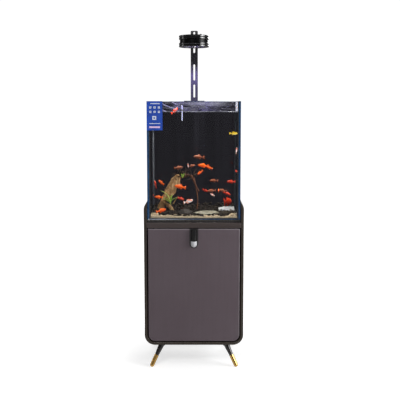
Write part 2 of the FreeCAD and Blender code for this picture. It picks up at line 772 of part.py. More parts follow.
def stone(share_x, share_y, share_length, share_width, foot_rise, top_rise, sides, turn, lean):
    """A rough stone: a many-sided foot that swells, then narrows to a smaller top.

    Its place and its length and width are shares of the cavity's half width and half depth."""
    x = share_x * CAVITY_HALF_X
    y = share_y * CAVITY_HALF_Y
    length = share_length * CAVITY_HALF_X
    width = share_width * CAVITY_HALF_Y
    foot = TANK_FLOOR + foot_rise
    top = TANK_FLOOR + top_rise
    wires = []
    belly = foot + STONE_BELLY_HEIGHT * (top - foot)
    for z, share in ((foot, STONE_FOOT_SHARE), (belly, 1.0), (top, STONE_TOP_SHARE)):
        shift = lean * (z - foot) / (top - foot)
        corners = []
        for i in range(sides):
            angle = turn + 2 * math.pi * i / sides
            swell = 1 + STONE_SWELL * math.sin(3 * angle + turn)
            corners.append(
                V(
                    x + shift + share * swell * length / 2 * math.cos(angle),
                    y + share * swell * width / 2 * math.sin(angle),
                    z,
                )
            )
        wires.append(Part.makePolygon(corners + corners[:1]))
    return Part.makeLoft(wires, True, True)


def scape_point(share_x, share_y, rise):
    return V(share_x * CAVITY_HALF_X, share_y * CAVITY_HALF_Y, TANK_FLOOR + rise)


def branch(path):
    """A limb through its stations, with a ball at each joint."""
    pieces = []
    for start, end in zip(path, path[1:]):
        pieces.append(taper(start[3], end[3], scape_point(*start[:3]), scape_point(*end[:3])))
    for station in path:
        pieces.append(Part.makeSphere(station[3] * LIMB_JOINT_SWELL, scape_point(*station[:3])))
    return pieces


# Each station is a share of the cavity's half width and half depth, a height over the glass floor,
# and the limb's radius there.
FORK = (-0.323, 0.07, 160, 15)
LIMB_LONG = [
    (-0.833, -0.127, 14, 12),
    (-0.672, -0.07, 54, 15),
    (-0.51, 0.0, 100, 18),
    FORK,
    (-0.146, 0.106, 192, 9),
    (0.0625, 0.141, 214, 5),
]
LIMB_PROP = [FORK, (-0.083, 0.056, 150, 11), (0.104, 0.014, 92, 10), (0.031, 0.056, 16, 14)]
LIMB_TWIG = [FORK, (-0.427, 0.028, 196, 6), (-0.479, 0.0, 216, 3)]


def driftwood():
    pieces = branch(LIMB_LONG) + branch(LIMB_PROP) + branch(LIMB_TWIG)
    return pieces[0].fuse(pieces[1:]).removeSplitter()


def plant_tuft(share_x, share_y, rise, height, spread, wood):
    """The room that one clump of leaves takes, rooted on the wood."""
    root = scape_point(share_x, share_y, rise)
    clump = taper(spread / 3, spread, root, root + V(0, 0, height))
    return clump.cut(wood)


def sand_bed(buried):
    _, room = tank_cavity(TANK_FLOOR + SAND_BACK + SEAM)
    over = SAND_BACK + 2 * SEAM
    profile = [
        V(-CAVITY_HALF_X, -CAVITY_HALF_Y, TANK_FLOOR + SAND_FRONT),
        V(-CAVITY_HALF_X, CAVITY_HALF_Y, TANK_FLOOR + SAND_BACK),
        V(-CAVITY_HALF_X, CAVITY_HALF_Y, TANK_FLOOR + over),
        V(-CAVITY_HALF_X, -CAVITY_HALF_Y, TANK_FLOOR + over),
    ]
    above = Part.Face(Part.makePolygon(profile + profile[:1])).extrude(V(2 * CAVITY_HALF_X, 0, 0))
    sand = room.cut(above)
    for shape in buried:
        sand = sand.cut(shape)
    return sand


WOOD = driftwood()
STONES = {
    "flat_stone": stone(0.24, -0.55, 0.615, 0.465, 9, 31, 9, 0.3, 6),
    "dark_stone": stone(-0.198, -0.507, 0.323, 0.352, 10, 37, 8, 1.1, -4),
    "capped_stone": stone(0.729, -0.592, 0.375, 0.423, 8, 46, 8, 0.6, 3),
}
node("driftwood", WOOD)
for stone_name, shape in STONES.items():
    node(stone_name, shape)
node("sand_bed", sand_bed([WOOD, *STONES.values()]))
TUFTS = [
    plant_tuft(-0.604, -0.127, 66, 52, 20, WOOD),
    plant_tuft(-0.24, -0.014, 158, 34, 15, WOOD),
]
node("leaf_tufts", group(TUFTS))

# ---------------------------------------------------------------- thermometer

GAUGE_Y = CAVITY_HALF_Y - GAUGE_STAND_OFF
GAUGE_TOP = RIM - GAUGE_TOP_DROP
RING_Z = GAUGE_TOP - GAUGE_LENGTH / 3


def thermometer():
    foot = V(GAUGE_X, GAUGE_Y, GAUGE_TOP - GAUGE_LENGTH + GAUGE_RADIUS)
    top = V(GAUGE_X, GAUGE_Y, GAUGE_TOP - GAUGE_RADIUS)
    ends = [Part.makeSphere(GAUGE_RADIUS, foot), Part.makeSphere(GAUGE_RADIUS, top)]
    return rod(GAUGE_RADIUS, foot, top).fuse(ends).removeSplitter()


def thermometer_sucker():
    """A rubber cup on the back glass with a ring round the tube."""
    mid = V(GAUGE_X, GAUGE_Y, RING_Z + SUCKER_RING_HEIGHT / 2)
    ring = Part.makeCylinder(
        GAUGE_RADIUS + SUCKER_RING_WALL, SUCKER_RING_HEIGHT, V(GAUGE_X, GAUGE_Y, RING_Z)
    )
    cup = taper(
        SUCKER_RADIUS, SUCKER_RADIUS / 3, V(GAUGE_X, CAVITY_HALF_Y, mid.z), V(GAUGE_X, GAUGE_Y, mid.z)
    )
    bore = Part.makeCylinder(
        GAUGE_RADIUS, 3 * SUCKER_RADIUS, V(GAUGE_X, GAUGE_Y, RING_Z - SUCKER_RADIUS)
    )
    return ring.fuse(cup).removeSplitter().cut(bore)


node("thermometer", thermometer())
node("thermometer_sucker", thermometer_sucker())

# ---------------------------------------------------------------- lamp clamp and mast


def clamp_saddle():
    """A plate over the back glass with a short jaw inside and a wide, screwed jaw outside."""
    half = SADDLE_WIDTH / 2
    top = box(-half, half, JAW_FRONT - SADDLE_LIP, OUTER_JAW_BACK, RIM, SADDLE_TOP)
    lip = JAW_FRONT - SADDLE_LIP
    top = round_edges(top, SADDLE_CORNER, lambda p: near(p.y, lip) and near(abs(p.x), half))
    inner = box(-JAW_WIDTH / 2, JAW_WIDTH / 2, JAW_FRONT, JAW_BACK, RIM - JAW_DROP, RIM)
    outer = box(-half, half, OUTER_JAW_FRONT, OUTER_JAW_BACK, RIM - OUTER_JAW_DROP, RIM)
    saddle = top.fuse([inner, outer]).removeSplitter()
    for side in SIDES.values():
        x = side * CLAMP_SCREW_X
        saddle = saddle.cut(
            rod(
                CLAMP_SCREW_RADIUS + RUNNING,
                V(x, OUTER_JAW_FRONT - CUT, CLAMP_SCREW_Z),
                V(x, OUTER_JAW_BACK + CUT, CLAMP_SCREW_Z),
            )
        )
    return saddle.cut(group(MAST_SCREWS))


def clamp_pad():
    return box(
        -JAW_WIDTH / 2, JAW_WIDTH / 2, JAW_BACK, CAVITY_HALF_Y, RIM - JAW_DROP, RIM - JAW_PAD
    )


def clamp_screw(side):
    """A thumb screw: ball tip in the cup, shank through the jaw, scalloped head."""
    x = side * CLAMP_SCREW_X
    z = CLAMP_SCREW_Z
    neck = CUP_BACK + SEAT_GAP
    head = OUTER_JAW_BACK + CLAMP_HEAD_GAP
    tip = rod(CLAMP_TIP_RADIUS, V(x, CUP_FRONT + CUP_FLOOR + SEAT_GAP, z), V(x, neck, z))
    shank = rod(CLAMP_SCREW_RADIUS, V(x, neck, z), V(x, head, z))
    grip = scalloped(x, z, head, REAR_REACH, CLAMP_HEAD_RADIUS)
    return tip.fuse([shank, grip]).removeSplitter()


def pressure_cup(side):
    x = side * CLAMP_SCREW_X
    z = CLAMP_SCREW_Z
    cup = rod(CUP_RADIUS, V(x, CUP_FRONT, z), V(x, CUP_BACK, z))
    socket = rod(
        CLAMP_TIP_RADIUS + RUNNING, V(x, CUP_FRONT + CUP_FLOOR, z), V(x, CUP_BACK + CUT, z)
    )
    return cup.cut(socket)


def scalloped(x, z, y0, y1, radius):
    """A round grip along Y with finger scallops round its edge."""
    grip = rod(radius, V(x, y0, z), V(x, y1, z))
    for i in range(KNOB_LOBES):
        angle = 2 * math.pi * (i + 0.5) / KNOB_LOBES
        cx = x + math.cos(angle) * (radius + KNOB_SCALLOP / 2)
        cz = z + math.sin(angle) * (radius + KNOB_SCALLOP / 2)
        grip = grip.cut(rod(KNOB_SCALLOP, V(cx, y0 - CUT, cz), V(cx, y1 + CUT, cz)))
    return grip


def slot_cutter(span):
    """A round-ended slot through the mast's web."""
    radius = SLOT_WIDTH / 2
    z0 = SADDLE_TOP + span[0] + radius
    z1 = SADDLE_TOP + span[1] - radius
    y0, y1 = MAST_FRONT - CUT, WEB_BACK + CUT
    middle = box(-radius, radius, y0, y1, z0, z1)
    ends = [rod(radius, V(0, y0, z), V(0, y1, z)) for z in (z0, z1)]
    return middle.fuse(ends).removeSplitter()


def mast_screw(side):
    x = side * MAST_SCREW_X
    y = (WEB_BACK + MAST_BACK) / 2
    shank = rod(MAST_SCREW_RADIUS, V(x, y, RIM + SEAT_GAP), V(x, y, SADDLE_TOP + MAST_LUG))
    head = rod(
        MAST_SCREW_HEAD,
        V(x, y, SADDLE_TOP + MAST_LUG),
        V(x, y, SADDLE_TOP + MAST_LUG + MAST_SCREW_HEAD_HEIGHT),
    )
    return shank.fuse(head).removeSplitter()


MAST_SCREWS = [mast_screw(side) for side in SIDES.values()]


def mast():
    """A channel with its web to the front, three slots, and a lug that screws to the saddle."""
    half = MAST_WIDTH / 2
    bar = box(-half, half, MAST_FRONT, MAST_BACK, SADDLE_TOP, MAST_TOP)
    bar = round_edges(
        bar, MAST_TOP_ROUND, lambda p: near(abs(p.x), half) and near(p.z, MAST_TOP)
    )
    hollow = box(
        -half + MAST_WALL, half - MAST_WALL, WEB_BACK, MAST_BACK + CUT,
        SADDLE_TOP + MAST_LUG, MAST_TOP + CUT,
    )
    bar = bar.cut(hollow)
    for span in (LOW_SLOT, MIDDLE_SLOT, TOP_SLOT):
        bar = bar.cut(slot_cutter(span))
    return bar.cut(group(MAST_SCREWS))


node("clamp_saddle", clamp_saddle())
node("clamp_pad", clamp_pad())
node("mast", mast())
node("mast_screws", group(MAST_SCREWS))
for side_name, side in SIDES.items():
    node(f"clamp_screw_{side_name}", clamp_screw(side))
    node(f"pressure_cup_{side_name}", pressure_cup(side))

# ---------------------------------------------------------------- lamp


def ridged_ring(z0, z1):
    """Outside outline of one lamp ring: two rounded ridges with a groove between."""
    chamfer = LAMP_GROOVE
    mid = (z0 + z1) / 2
    return [
        (LAMP_RADIUS - chamfer, z0),
        (LAMP_RADIUS, z0 + chamfer),
        (LAMP_RADIUS, mid - 2 * chamfer),
        (LAMP_RADIUS - chamfer, mid - chamfer / 2),
        (LAMP_RADIUS - chamfer, mid + chamfer / 2),
        (LAMP_RADIUS, mid + 2 * chamfer),
        (LAMP_RADIUS, z1 - chamfer),
        (LAMP_RADIUS - chamfer, z1),
    ]


LENS_Z = LAMP_BOTTOM + LAMP_WALL
LENS_RADIUS = LAMP_RADIUS - LAMP_WALL - LENS_SEAT
SINK_Z = BAND_BOTTOM - SINK_SEAT
BOARD_Z = SINK_Z - BOARD
BOARD_RADIUS = BAND_RADIUS - LAMP_WALL - BOARD_MARGIN
SINK_RADIUS = BAND_RADIUS - LAMP_WALL - SINK_FIN_MARGIN
COLLAR_NECK = COLLAR_RADIUS - COLLAR_RIM


def lamp_upper_shell():
    inner = LAMP_RADIUS - LAMP_WALL
    profile = ridged_ring(BAND_TOP, LAMP_TOP)
    profile += [(0, LAMP_TOP), (0, LAMP_TOP - LAMP_WALL), (inner - LAMP_WALL, LAMP_TOP - LAMP_WALL)]
    profile += [(inner - LAMP_WALL, BAND_TOP)]
    shell = turned(profile, 0, LAMP_Y)
    x, y = INLET_OFFSET, LAMP_Y + INLET_OFFSET
    hole = rod(INLET_WAIST, V(x, y, LAMP_TOP - LAMP_WALL - CUT), V(x, y, LAMP_TOP + CUT))
    return shell.cut(hole)


def lamp_band():
    """The recessed ring between the two ridged ones."""
    inner = BAND_RADIUS - LAMP_WALL
    profile = [
        (inner, BAND_BOTTOM),
        (BAND_RADIUS, BAND_BOTTOM),
        (BAND_RADIUS, BAND_TOP),
        (inner, BAND_TOP),
    ]
    return turned(profile, 0, LAMP_Y)


def lamp_lower_shell():
    inner = LAMP_RADIUS - LAMP_WALL
    profile = ridged_ring(LAMP_BOTTOM, BAND_BOTTOM)
    profile += [
        (BAND_RADIUS - LAMP_WALL, BAND_BOTTOM),
        (BAND_RADIUS - LAMP_WALL, BAND_BOTTOM - LAMP_WALL),
        (inner, BAND_BOTTOM - LAMP_WALL),
        (inner, LENS_Z + LAMP_LENS),
        (LENS_RADIUS, LENS_Z + LAMP_LENS),
        (LENS_RADIUS, LENS_Z),
        (LENS_RADIUS - LENS_SEAT, LENS_Z),
        (LENS_RADIUS - LENS_SEAT, LAMP_BOTTOM),
    ]
    return turned(profile, 0, LAMP_Y)


def lamp_lens():
    return turned(
        [
            (COLLAR_NECK, LENS_Z),
            (LENS_RADIUS, LENS_Z),
            (LENS_RADIUS, LENS_Z + LAMP_LENS),
            (COLLAR_NECK, LENS_Z + LAMP_LENS),
        ],
        0,
        LAMP_Y,
    )


def lens_collar():
    """A small bright ring at the middle of the lens, round the centre lamp."""
    foot = LAMP_BOTTOM - COLLAR_DROP
    profile = [
        (COLLAR_BORE, foot),
        (COLLAR_NECK, foot),
        (COLLAR_RADIUS, foot + COLLAR_RIM),
        (COLLAR_RADIUS, LENS_Z),
        (COLLAR_NECK, LENS_Z),
        (COLLAR_NECK, BOARD_Z - CHIP),
        (COLLAR_BORE, BOARD_Z - CHIP),
    ]
    return turned(profile, 0, LAMP_Y)


def led_board():
    """A round board with rings of square light chips under it."""
    board = Part.makeCylinder(BOARD_RADIUS, BOARD, V(0, LAMP_Y, BOARD_Z))
    chips = []
    half = CHIP_SIDE / 2
    places = [(0.0, 0.0)]
    for radius in CHIP_RING_RADII:
        count = round(2 * math.pi * radius / CHIP_PITCH)
        for i in range(count):
            angle = 2 * math.pi * i / count
            places.append((radius * math.cos(angle), radius * math.sin(angle)))
    for dx, dy in places:
        chips.append(
            box(
                dx - half, dx + half, LAMP_Y + dy - half, LAMP_Y + dy + half,
                BOARD_Z - CHIP, BOARD_Z,
            )
        )
    return board.fuse(chips).removeSplitter()


def heat_sink():
    """A round base with upright parallel fins, carried by the band."""
    base = Part.makeCylinder(BAND_RADIUS - LAMP_WALL, SINK_BASE, V(0, LAMP_Y, SINK_Z))
    fins = []
    pitch = 2 * SINK_RADIUS / SINK_FINS
    for i in range(SINK_FINS):
        x = -SINK_RADIUS + pitch * (i + 0.5)
        reach = math.sqrt(SINK_RADIUS**2 - (abs(x) + SINK_FIN) ** 2)
        fins.append(
            box(
                x - SINK_FIN / 2, x + SINK_FIN / 2, LAMP_Y - reach, LAMP_Y + reach,
                SINK_Z + SINK_BASE, SINK_Z + SINK_BASE + SINK_FIN_HEIGHT,
            )
        )
    return base.fuse(fins).removeSplitter()


def lamp_inlet():
    """A ribbed gland on the lamp's top, towards the mast, for a low-voltage lead."""
    x, y = INLET_OFFSET, LAMP_Y + INLET_OFFSET
    profile = [
        (INLET_BORE, LAMP_TOP - LAMP_WALL),
        (INLET_WAIST, LAMP_TOP - LAMP_WALL),
        (INLET_WAIST, LAMP_TOP),
        (INLET_RADIUS, LAMP_TOP),
        (INLET_RADIUS, LAMP_TOP + INLET_LENGTH / 3),
        (INLET_WAIST, LAMP_TOP + INLET_LENGTH),
        (INLET_BORE, LAMP_TOP + INLET_LENGTH),
    ]
    return turned(profile, x, y)


def lamp_arm():
    """Carriage block with a tongue in the mast's slot, and an arm to the lamp's band."""
    half = CARRIAGE_WIDTH / 2
    z = CARRIAGE_Z
    block = box(
        -half, half, CARRIAGE_FRONT, CARRIAGE_BACK,
        z - CARRIAGE_HEIGHT / 2, z + CARRIAGE_HEIGHT / 2,
    )
    block = round_edges(block, CARRIAGE_EDGE_ROUND, lambda p: near(p.y, CARRIAGE_FRONT))
    tongue_half = SLOT_WIDTH / 2 - SEAT_GAP
    tongue = box(
        -tongue_half, tongue_half, CARRIAGE_BACK, WEB_BACK - SEAT_GAP,
        z - TONGUE_HEIGHT / 2, z + TONGUE_HEIGHT / 2,
    )
    beam = box(
        -ARM_WIDTH / 2, ARM_WIDTH / 2, LAMP_Y, CARRIAGE_FRONT,
        z - ARM_HEIGHT / 2, z + ARM_HEIGHT / 2,
    )
    core = Part.makeCylinder(BAND_RADIUS, 2 * LAMP_HEIGHT, V(0, LAMP_Y, z - LAMP_HEIGHT))
    beam = beam.cut(core)
    arm = block.fuse([tongue, beam]).removeSplitter()
    bore = rod(
        STUD_RADIUS + RUNNING,
        V(0, CARRIAGE_BACK - STUD_ENGAGE - SEAT_GAP, z),
        V(0, MAST_BACK, z),
    )
    return arm.cut(bore)


def carriage_knob():
    """The lobed knob behind the mast, with its stud through the slot."""
    z = CARRIAGE_Z
    seat = WEB_BACK + SEAT_GAP
    stud = rod(STUD_RADIUS, V(0, CARRIAGE_BACK - STUD_ENGAGE, z), V(0, seat, z))
    grip_start = seat + KNOB_BOSS
    boss = rod(KNOB_BOSS_RADIUS, V(0, seat, z), V(0, grip_start, z))
    grip = scalloped(0, z, grip_start, grip_start + KNOB_LENGTH, KNOB_RADIUS)
    return stud.fuse([boss, grip]).removeSplitter()


node("lamp_upper_shell", lamp_upper_shell())
node("lamp_band", lamp_band())
node("lamp_lower_shell", lamp_lower_shell())
node("lamp_lens", lamp_lens())
node("lens_collar", lens_collar())
node("led_board", led_board())
node("heat_sink", heat_sink())
node("lamp_inlet", lamp_inlet())
node("lamp_arm", lamp_arm())
node("carriage_knob", carriage_knob())

for name, shape in NODES.items():
    bounds = shape.BoundBox
    print(
        f"{name:24s} solids {len(shape.Solids):3d} valid {shape.isValid()}"
        f" x {bounds.XMin:8.1f}..{bounds.XMax:7.1f} y {bounds.YMin:8.1f}..{bounds.YMax:7.1f}"
        f" z {bounds.ZMin:8.1f}..{bounds.ZMax:7.1f}"
    )
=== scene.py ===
import math
import random

import bmesh
import bpy
from mathutils import Matrix, Vector, noise


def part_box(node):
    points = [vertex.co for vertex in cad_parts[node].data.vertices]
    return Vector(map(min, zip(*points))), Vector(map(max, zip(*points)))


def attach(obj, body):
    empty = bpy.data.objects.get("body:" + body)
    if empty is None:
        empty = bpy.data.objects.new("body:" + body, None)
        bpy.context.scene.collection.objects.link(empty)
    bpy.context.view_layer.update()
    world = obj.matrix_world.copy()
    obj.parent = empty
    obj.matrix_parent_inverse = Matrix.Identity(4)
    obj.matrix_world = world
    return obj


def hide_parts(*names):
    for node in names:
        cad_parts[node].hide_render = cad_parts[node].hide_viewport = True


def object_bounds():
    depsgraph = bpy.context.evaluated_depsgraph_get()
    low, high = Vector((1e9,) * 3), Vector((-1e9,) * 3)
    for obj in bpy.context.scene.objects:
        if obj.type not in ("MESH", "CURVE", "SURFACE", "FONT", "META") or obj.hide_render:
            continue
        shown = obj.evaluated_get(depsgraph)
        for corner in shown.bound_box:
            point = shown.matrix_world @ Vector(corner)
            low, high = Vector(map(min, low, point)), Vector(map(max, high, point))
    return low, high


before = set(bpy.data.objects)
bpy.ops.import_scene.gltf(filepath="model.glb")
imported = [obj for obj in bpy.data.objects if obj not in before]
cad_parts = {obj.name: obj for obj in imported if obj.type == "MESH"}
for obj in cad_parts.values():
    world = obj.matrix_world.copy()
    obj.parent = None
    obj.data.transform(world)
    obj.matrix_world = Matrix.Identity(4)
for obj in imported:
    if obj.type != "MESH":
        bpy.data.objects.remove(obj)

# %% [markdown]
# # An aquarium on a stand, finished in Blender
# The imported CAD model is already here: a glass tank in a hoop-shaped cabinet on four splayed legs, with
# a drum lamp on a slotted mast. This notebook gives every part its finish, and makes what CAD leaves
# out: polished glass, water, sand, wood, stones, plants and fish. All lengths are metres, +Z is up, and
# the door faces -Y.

cad_low, cad_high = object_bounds()
print("CAD box", [round(v, 3) for v in cad_low], [round(v, 3) for v in cad_high])

# %% [markdown]
# ## The camera
# A level lens straight in front would need a large shift to take in the feet, so the camera stands at
# about the height of the water line, tips down by a few degrees, and uses a small shift for the rest.
# Its place is worked out from the object's own box, so the view follows the model if it grows.

# %% Camera
CAMERA_DISTANCE = 2.984
CAMERA_HEIGHT = 1.1346
CAMERA_SIDE = 0.0264
CAMERA_TIP_DEG = 6.2
LENS_MM = 63.7
SHIFT_Y = -0.04

camera_data = bpy.data.cameras.new("camera")
camera_data.lens = LENS_MM
camera_data.sensor_width = 36.0
camera_data.shift_y = SHIFT_Y
camera = bpy.data.objects.new("camera", camera_data)
camera.location = (CAMERA_SIDE, cad_low.y - CAMERA_DISTANCE, CAMERA_HEIGHT)
camera.rotation_euler = (math.radians(90 - CAMERA_TIP_DEG), 0, 0)
bpy.context.scene.collection.objects.link(camera)
bpy.context.scene.camera = camera
print("camera at", [round(v, 3) for v in camera.location])

# %% [markdown]
# ## The studio
# The floor is a plain pale sheet that glows. Its glow is lower under the stand than further out, which
# paints a light shade under the cabinet. `add_node` is the one helper that builds every shader in this
# notebook: it adds a node, gives it its settings, and sets or joins its sockets.

# %% Floor and backdrop
FLOOR_HALF = 200.0
# painted shade: the floor glows less under the stand than further out
GLOW_UNDER = 0.655     # glow of the floor right under the stand, as the camera sees it
GLOW_AWAY = 1.02       # glow of the floor further out
GLOW_ON_THINGS = 0.10  # glow that reaches the object itself
SHADE_FROM, SHADE_TO = 0.20, 0.58  # distances from the middle between which the shade fades
WHITE = (1, 1, 1, 1)


def add_node(tree, kind, sockets=(), **settings):
    """Adds a shader node with its settings, and sets or joins each named input socket."""
    made = tree.nodes.new(kind)
    for key, value in settings.items():
        setattr(made, key, value)
    for socket, value in dict(sockets).items():
        if hasattr(value, "links"):
            tree.links.new(value, made.inputs[socket])
        else:
            made.inputs[socket].default_value = value
    return made


def floor_paint():
    """Matt grey paint whose glow fades towards the stand: a painted shade under it."""
    paint = bpy.data.materials.new("pale_floor")
    paint.use_nodes = True
    tree = paint.node_tree
    space = add_node(tree, "ShaderNodeTexCoord").outputs["Object"]
    away = add_node(tree, "ShaderNodeVectorMath", {0: space}, operation="LENGTH").outputs["Value"]
    # painted shade: the glow is lowest near the middle, under the stand
    painted_shade_glow = add_node(tree, "ShaderNodeMapRange", {
        "Value": away, "From Min": SHADE_FROM, "From Max": SHADE_TO,
        "To Min": GLOW_UNDER, "To Max": GLOW_AWAY,
    }, interpolation_type="SMOOTHSTEP").outputs["Result"]
    seen = add_node(tree, "ShaderNodeLightPath").outputs["Is Camera Ray"]
    glow = add_node(tree, "ShaderNodeMix", {"Factor": seen, "A": GLOW_ON_THINGS, "B": painted_shade_glow}).outputs["Result"]
    shader = tree.nodes["Principled BSDF"]
    for socket, value in (("Base Color", (0.5, 0.5, 0.5, 1)), ("Roughness", 1.0),
                          ("Specular IOR Level", 0.0), ("Emission Color", WHITE)):
        shader.inputs[socket].default_value = value
    tree.links.new(glow, shader.inputs["Emission Strength"])
    return paint


def stage_floor(half):
    plane = bmesh.new()
    bmesh.ops.create_grid(plane, x_segments=1, y_segments=1, size=half)
    mesh = bpy.data.meshes.new("floor")
    plane.to_mesh(mesh)
    plane.free()
    mesh.materials.append(floor_paint())
    floor = bpy.data.objects.new("floor", mesh)
    bpy.context.scene.collection.objects.link(floor)


stage_floor(FLOOR_HALF)
bpy.context.scene.view_settings.view_transform = "Standard"

print("floor half width", FLOOR_HALF)

# %% [markdown]
# A big soft box on the right draws the bright line down the right third of every round part, a wide one
# over the camera fills the front, and another lights the back. The world is white where the camera sees
# it and dim where parts reflect it, so black gloss stays black.

# %% World and lamps
DIM_WORLD = 0.09
WHITE_WORLD = 1.05
world = bpy.data.worlds.new("studio")
bpy.context.scene.world = world
world.use_nodes = True
sky = world.node_tree
sky.nodes.clear()
dim_sky, white_sky = (
    add_node(sky, "ShaderNodeBackground", {"Color": WHITE, "Strength": strength}).outputs["Background"]
    for strength in (DIM_WORLD, WHITE_WORLD)
)
sky_seen = add_node(sky, "ShaderNodeLightPath").outputs["Is Camera Ray"]
sky_mix = add_node(sky, "ShaderNodeMixShader", {0: sky_seen, 1: dim_sky, 2: white_sky}).outputs["Shader"]
add_node(sky, "ShaderNodeOutputWorld", {"Surface": sky_mix})


def soft_box(name, place, aim, width, height, watts):
    """A rectangular area lamp that points from its place towards aim."""
    data = bpy.data.lights.new(name, "AREA")
    data.shape = "RECTANGLE"
    data.size = width
    data.size_y = height
    data.energy = watts
    lamp = bpy.data.objects.new(name, data)
    lamp.location = place
    lamp.rotation_euler = (Vector(aim) - Vector(place)).to_track_quat("-Z", "Y").to_euler()
    bpy.context.scene.collection.objects.link(lamp)


MIDDLE = (0, 0, 0.75)
soft_box("key_right", (2.25, -0.85, 1.25), (0, 0, 0.9), 1.6, 1.9, 60)
soft_box("fill_front", (-0.9, -3.6, 3.2), MIDDLE, 1.4, 1.0, 80)
soft_box("lamp_glint", (2.05, -0.88, 1.62), (0, 0, 1.42), 0.55, 0.6, 9)
soft_box("fill_left", (-2.8, 0.3, 1.6), MIDDLE, 0.5, 1.4, 7)
soft_box("back_soft", (0.8, 3.2, 2.4), MIDDLE, 2.0, 1.6, 60)

# %% [markdown]
# ## Small helpers for finishes
# Every finish below is one Principled shader with its colour, roughness and surface relief driven by
# procedural textures that read Object coordinates. The helpers only save typing: `Finish` starts a
# material, `grain` adds a noise texture, `between` spreads its value over a range, `tint` runs it through
# two or more colours, and `relief` turns it into a bump. Numbers that are even all over the surface go
# straight on the shader's own sockets, so that an export keeps them.

# %% Finish helpers
class Finish:
    """A material with one Principled shader, and the short steps that build its pattern."""

    def __init__(self, name, colour, roughness, **even):
        self.material = bpy.data.materials.new(name)
        self.material.use_nodes = True
        self.tree = self.material.node_tree
        self.shader = self.tree.nodes["Principled BSDF"]
        self.shader.inputs["Base Color"].default_value = (*colour, 1)
        self.shader.inputs["Roughness"].default_value = roughness
        for socket, value in even.items():
            self.shader.inputs[socket.replace("_", " ")].default_value = value
        self.space = self.node("ShaderNodeTexCoord").outputs["Object"]
        self.last_bump = None

    def node(self, kind, sockets=(), **settings):
        return add_node(self.tree, kind, sockets, **settings)

    def put(self, value, socket):
        self.tree.links.new(value, self.shader.inputs[socket])

    def stretched(self, scale, turn=(0, 0, 0)):
        sockets = {"Scale": scale, "Rotation": turn, "Vector": self.space}
        return self.node("ShaderNodeMapping", sockets).outputs["Vector"]

    def grain(self, scale, detail=4.0, rough=0.55, where=None, twist=0.0):
        return self.node("ShaderNodeTexNoise", {
            "Scale": scale, "Detail": detail, "Roughness": rough, "Distortion": twist,
            "Vector": where or self.space,
        }).outputs["Fac"]

    def cells(self, scale, feature="F1"):
        sockets = {"Scale": scale, "Vector": self.space}
        return self.node("ShaderNodeTexVoronoi", sockets, feature=feature).outputs["Distance"]

    def bands(self, scale, twist, where=None, axis="X"):
        return self.node("ShaderNodeTexWave", {
            "Scale": scale, "Distortion": twist, "Detail": 3.0, "Vector": where or self.space,
        }, bands_direction=axis).outputs["Fac"]

    def between(self, value, low, high, start=0.3, end=0.7):
        """Spreads the values from start to end over the range from low to high."""
        return self.node("ShaderNodeMapRange", {
            "Value": value, "From Min": start, "From Max": end, "To Min": low, "To Max": high,
        }).outputs["Result"]

    def tint(self, value, *stops):
        """A ramp through (position, (r, g, b)) stops."""
        made = self.node("ShaderNodeValToRGB", {"Fac": value})
        ramp = made.color_ramp
        while len(ramp.elements) < len(stops):
            ramp.elements.new(0.5)
        for element, (position, colour) in zip(ramp.elements, stops):
            element.position = position
            element.color = (*colour, 1)
        return made.outputs["Color"]

    def mixed(self, value, first, second):
        """One colour or pattern where the value is 0, the other where it is 1."""
        made = self.node("ShaderNodeMix", {"Factor": value}, data_type="RGBA")
        for side, given in (("A", first), ("B", second)):
            socket = next(s for s in made.inputs if s.name == side and s.type == "RGBA")
            if isinstance(given, tuple):
                socket.default_value = (*given, 1)
            else:
                self.tree.links.new(given, socket)
        return next(s for s in made.outputs if s.type == "RGBA")

    def sums(self, kind, first, second=0.0):
        return self.node("ShaderNodeMath", {0: first, 1: second}, operation=kind).outputs["Value"]

    def axis(self, letter):
        return self.node("ShaderNodeSeparateXYZ", {"Vector": self.space}).outputs[letter]

    def off(self, letter, middle):
        """How far a point lies from the middle along one axis."""
        return self.sums("ABSOLUTE", self.sums("SUBTRACT", self.axis(letter), middle))

    def relief(self, value, strength, depth=0.001):
        sockets = {"Strength": strength, "Distance": depth, "Height": value}
        if self.last_bump:
            sockets["Normal"] = self.last_bump
        self.last_bump = self.node("ShaderNodeBump", sockets).outputs["Normal"]
        self.put(self.last_bump, "Normal")

    def colour(self, value):
        self.put(value, "Base Color")

    def roughness(self, value):
        self.put(value, "Roughness")


def worn(finish, dark, light, smooth, rough, scale=9.0):
    """The slight unevenness that every real coating has: cloudy colour, and patches of more or less gloss."""
    cloud = finish.grain(scale, 5.0)
    finish.colour(finish.tint(cloud, (0.3, dark), (0.7, light)))
    finish.roughness(finish.between(finish.grain(scale * 4, 3.0), smooth, rough))


print("finish helpers ready")

# %% [markdown]
# ## Lacquered wood
# The hoop and the rail are bent and flat board under a dark brown satin lacquer. Real lacquer shows the
# board's grain faintly, so long stretched noise moves the colour a little and lifts the surface by a few
# hundredths of a millimetre. The door has a smooth matt film with a finer, nearly even grain, and a
# painted highlight: its colour turns paler along its top and its right edge, where the edges catch the light.

# %% Wood finishes
def lacquered(name, dark, light, smooth, rough, along):
    made = Finish(name, light, rough, Specular_IOR_Level=0.45)
    board = made.stretched(along)
    lines = made.grain(26.0, 6.0, 0.6, board, 0.4)
    pores = made.grain(240.0, 2.0, 0.5, board)
    made.colour(made.tint(lines, (0.25, dark), (0.55, light), (0.85, dark)))
    made.roughness(made.between(pores, smooth, rough))
    made.relief(lines, 0.12, 0.0006)
    made.relief(pores, 0.18, 0.0003)
    return made.material


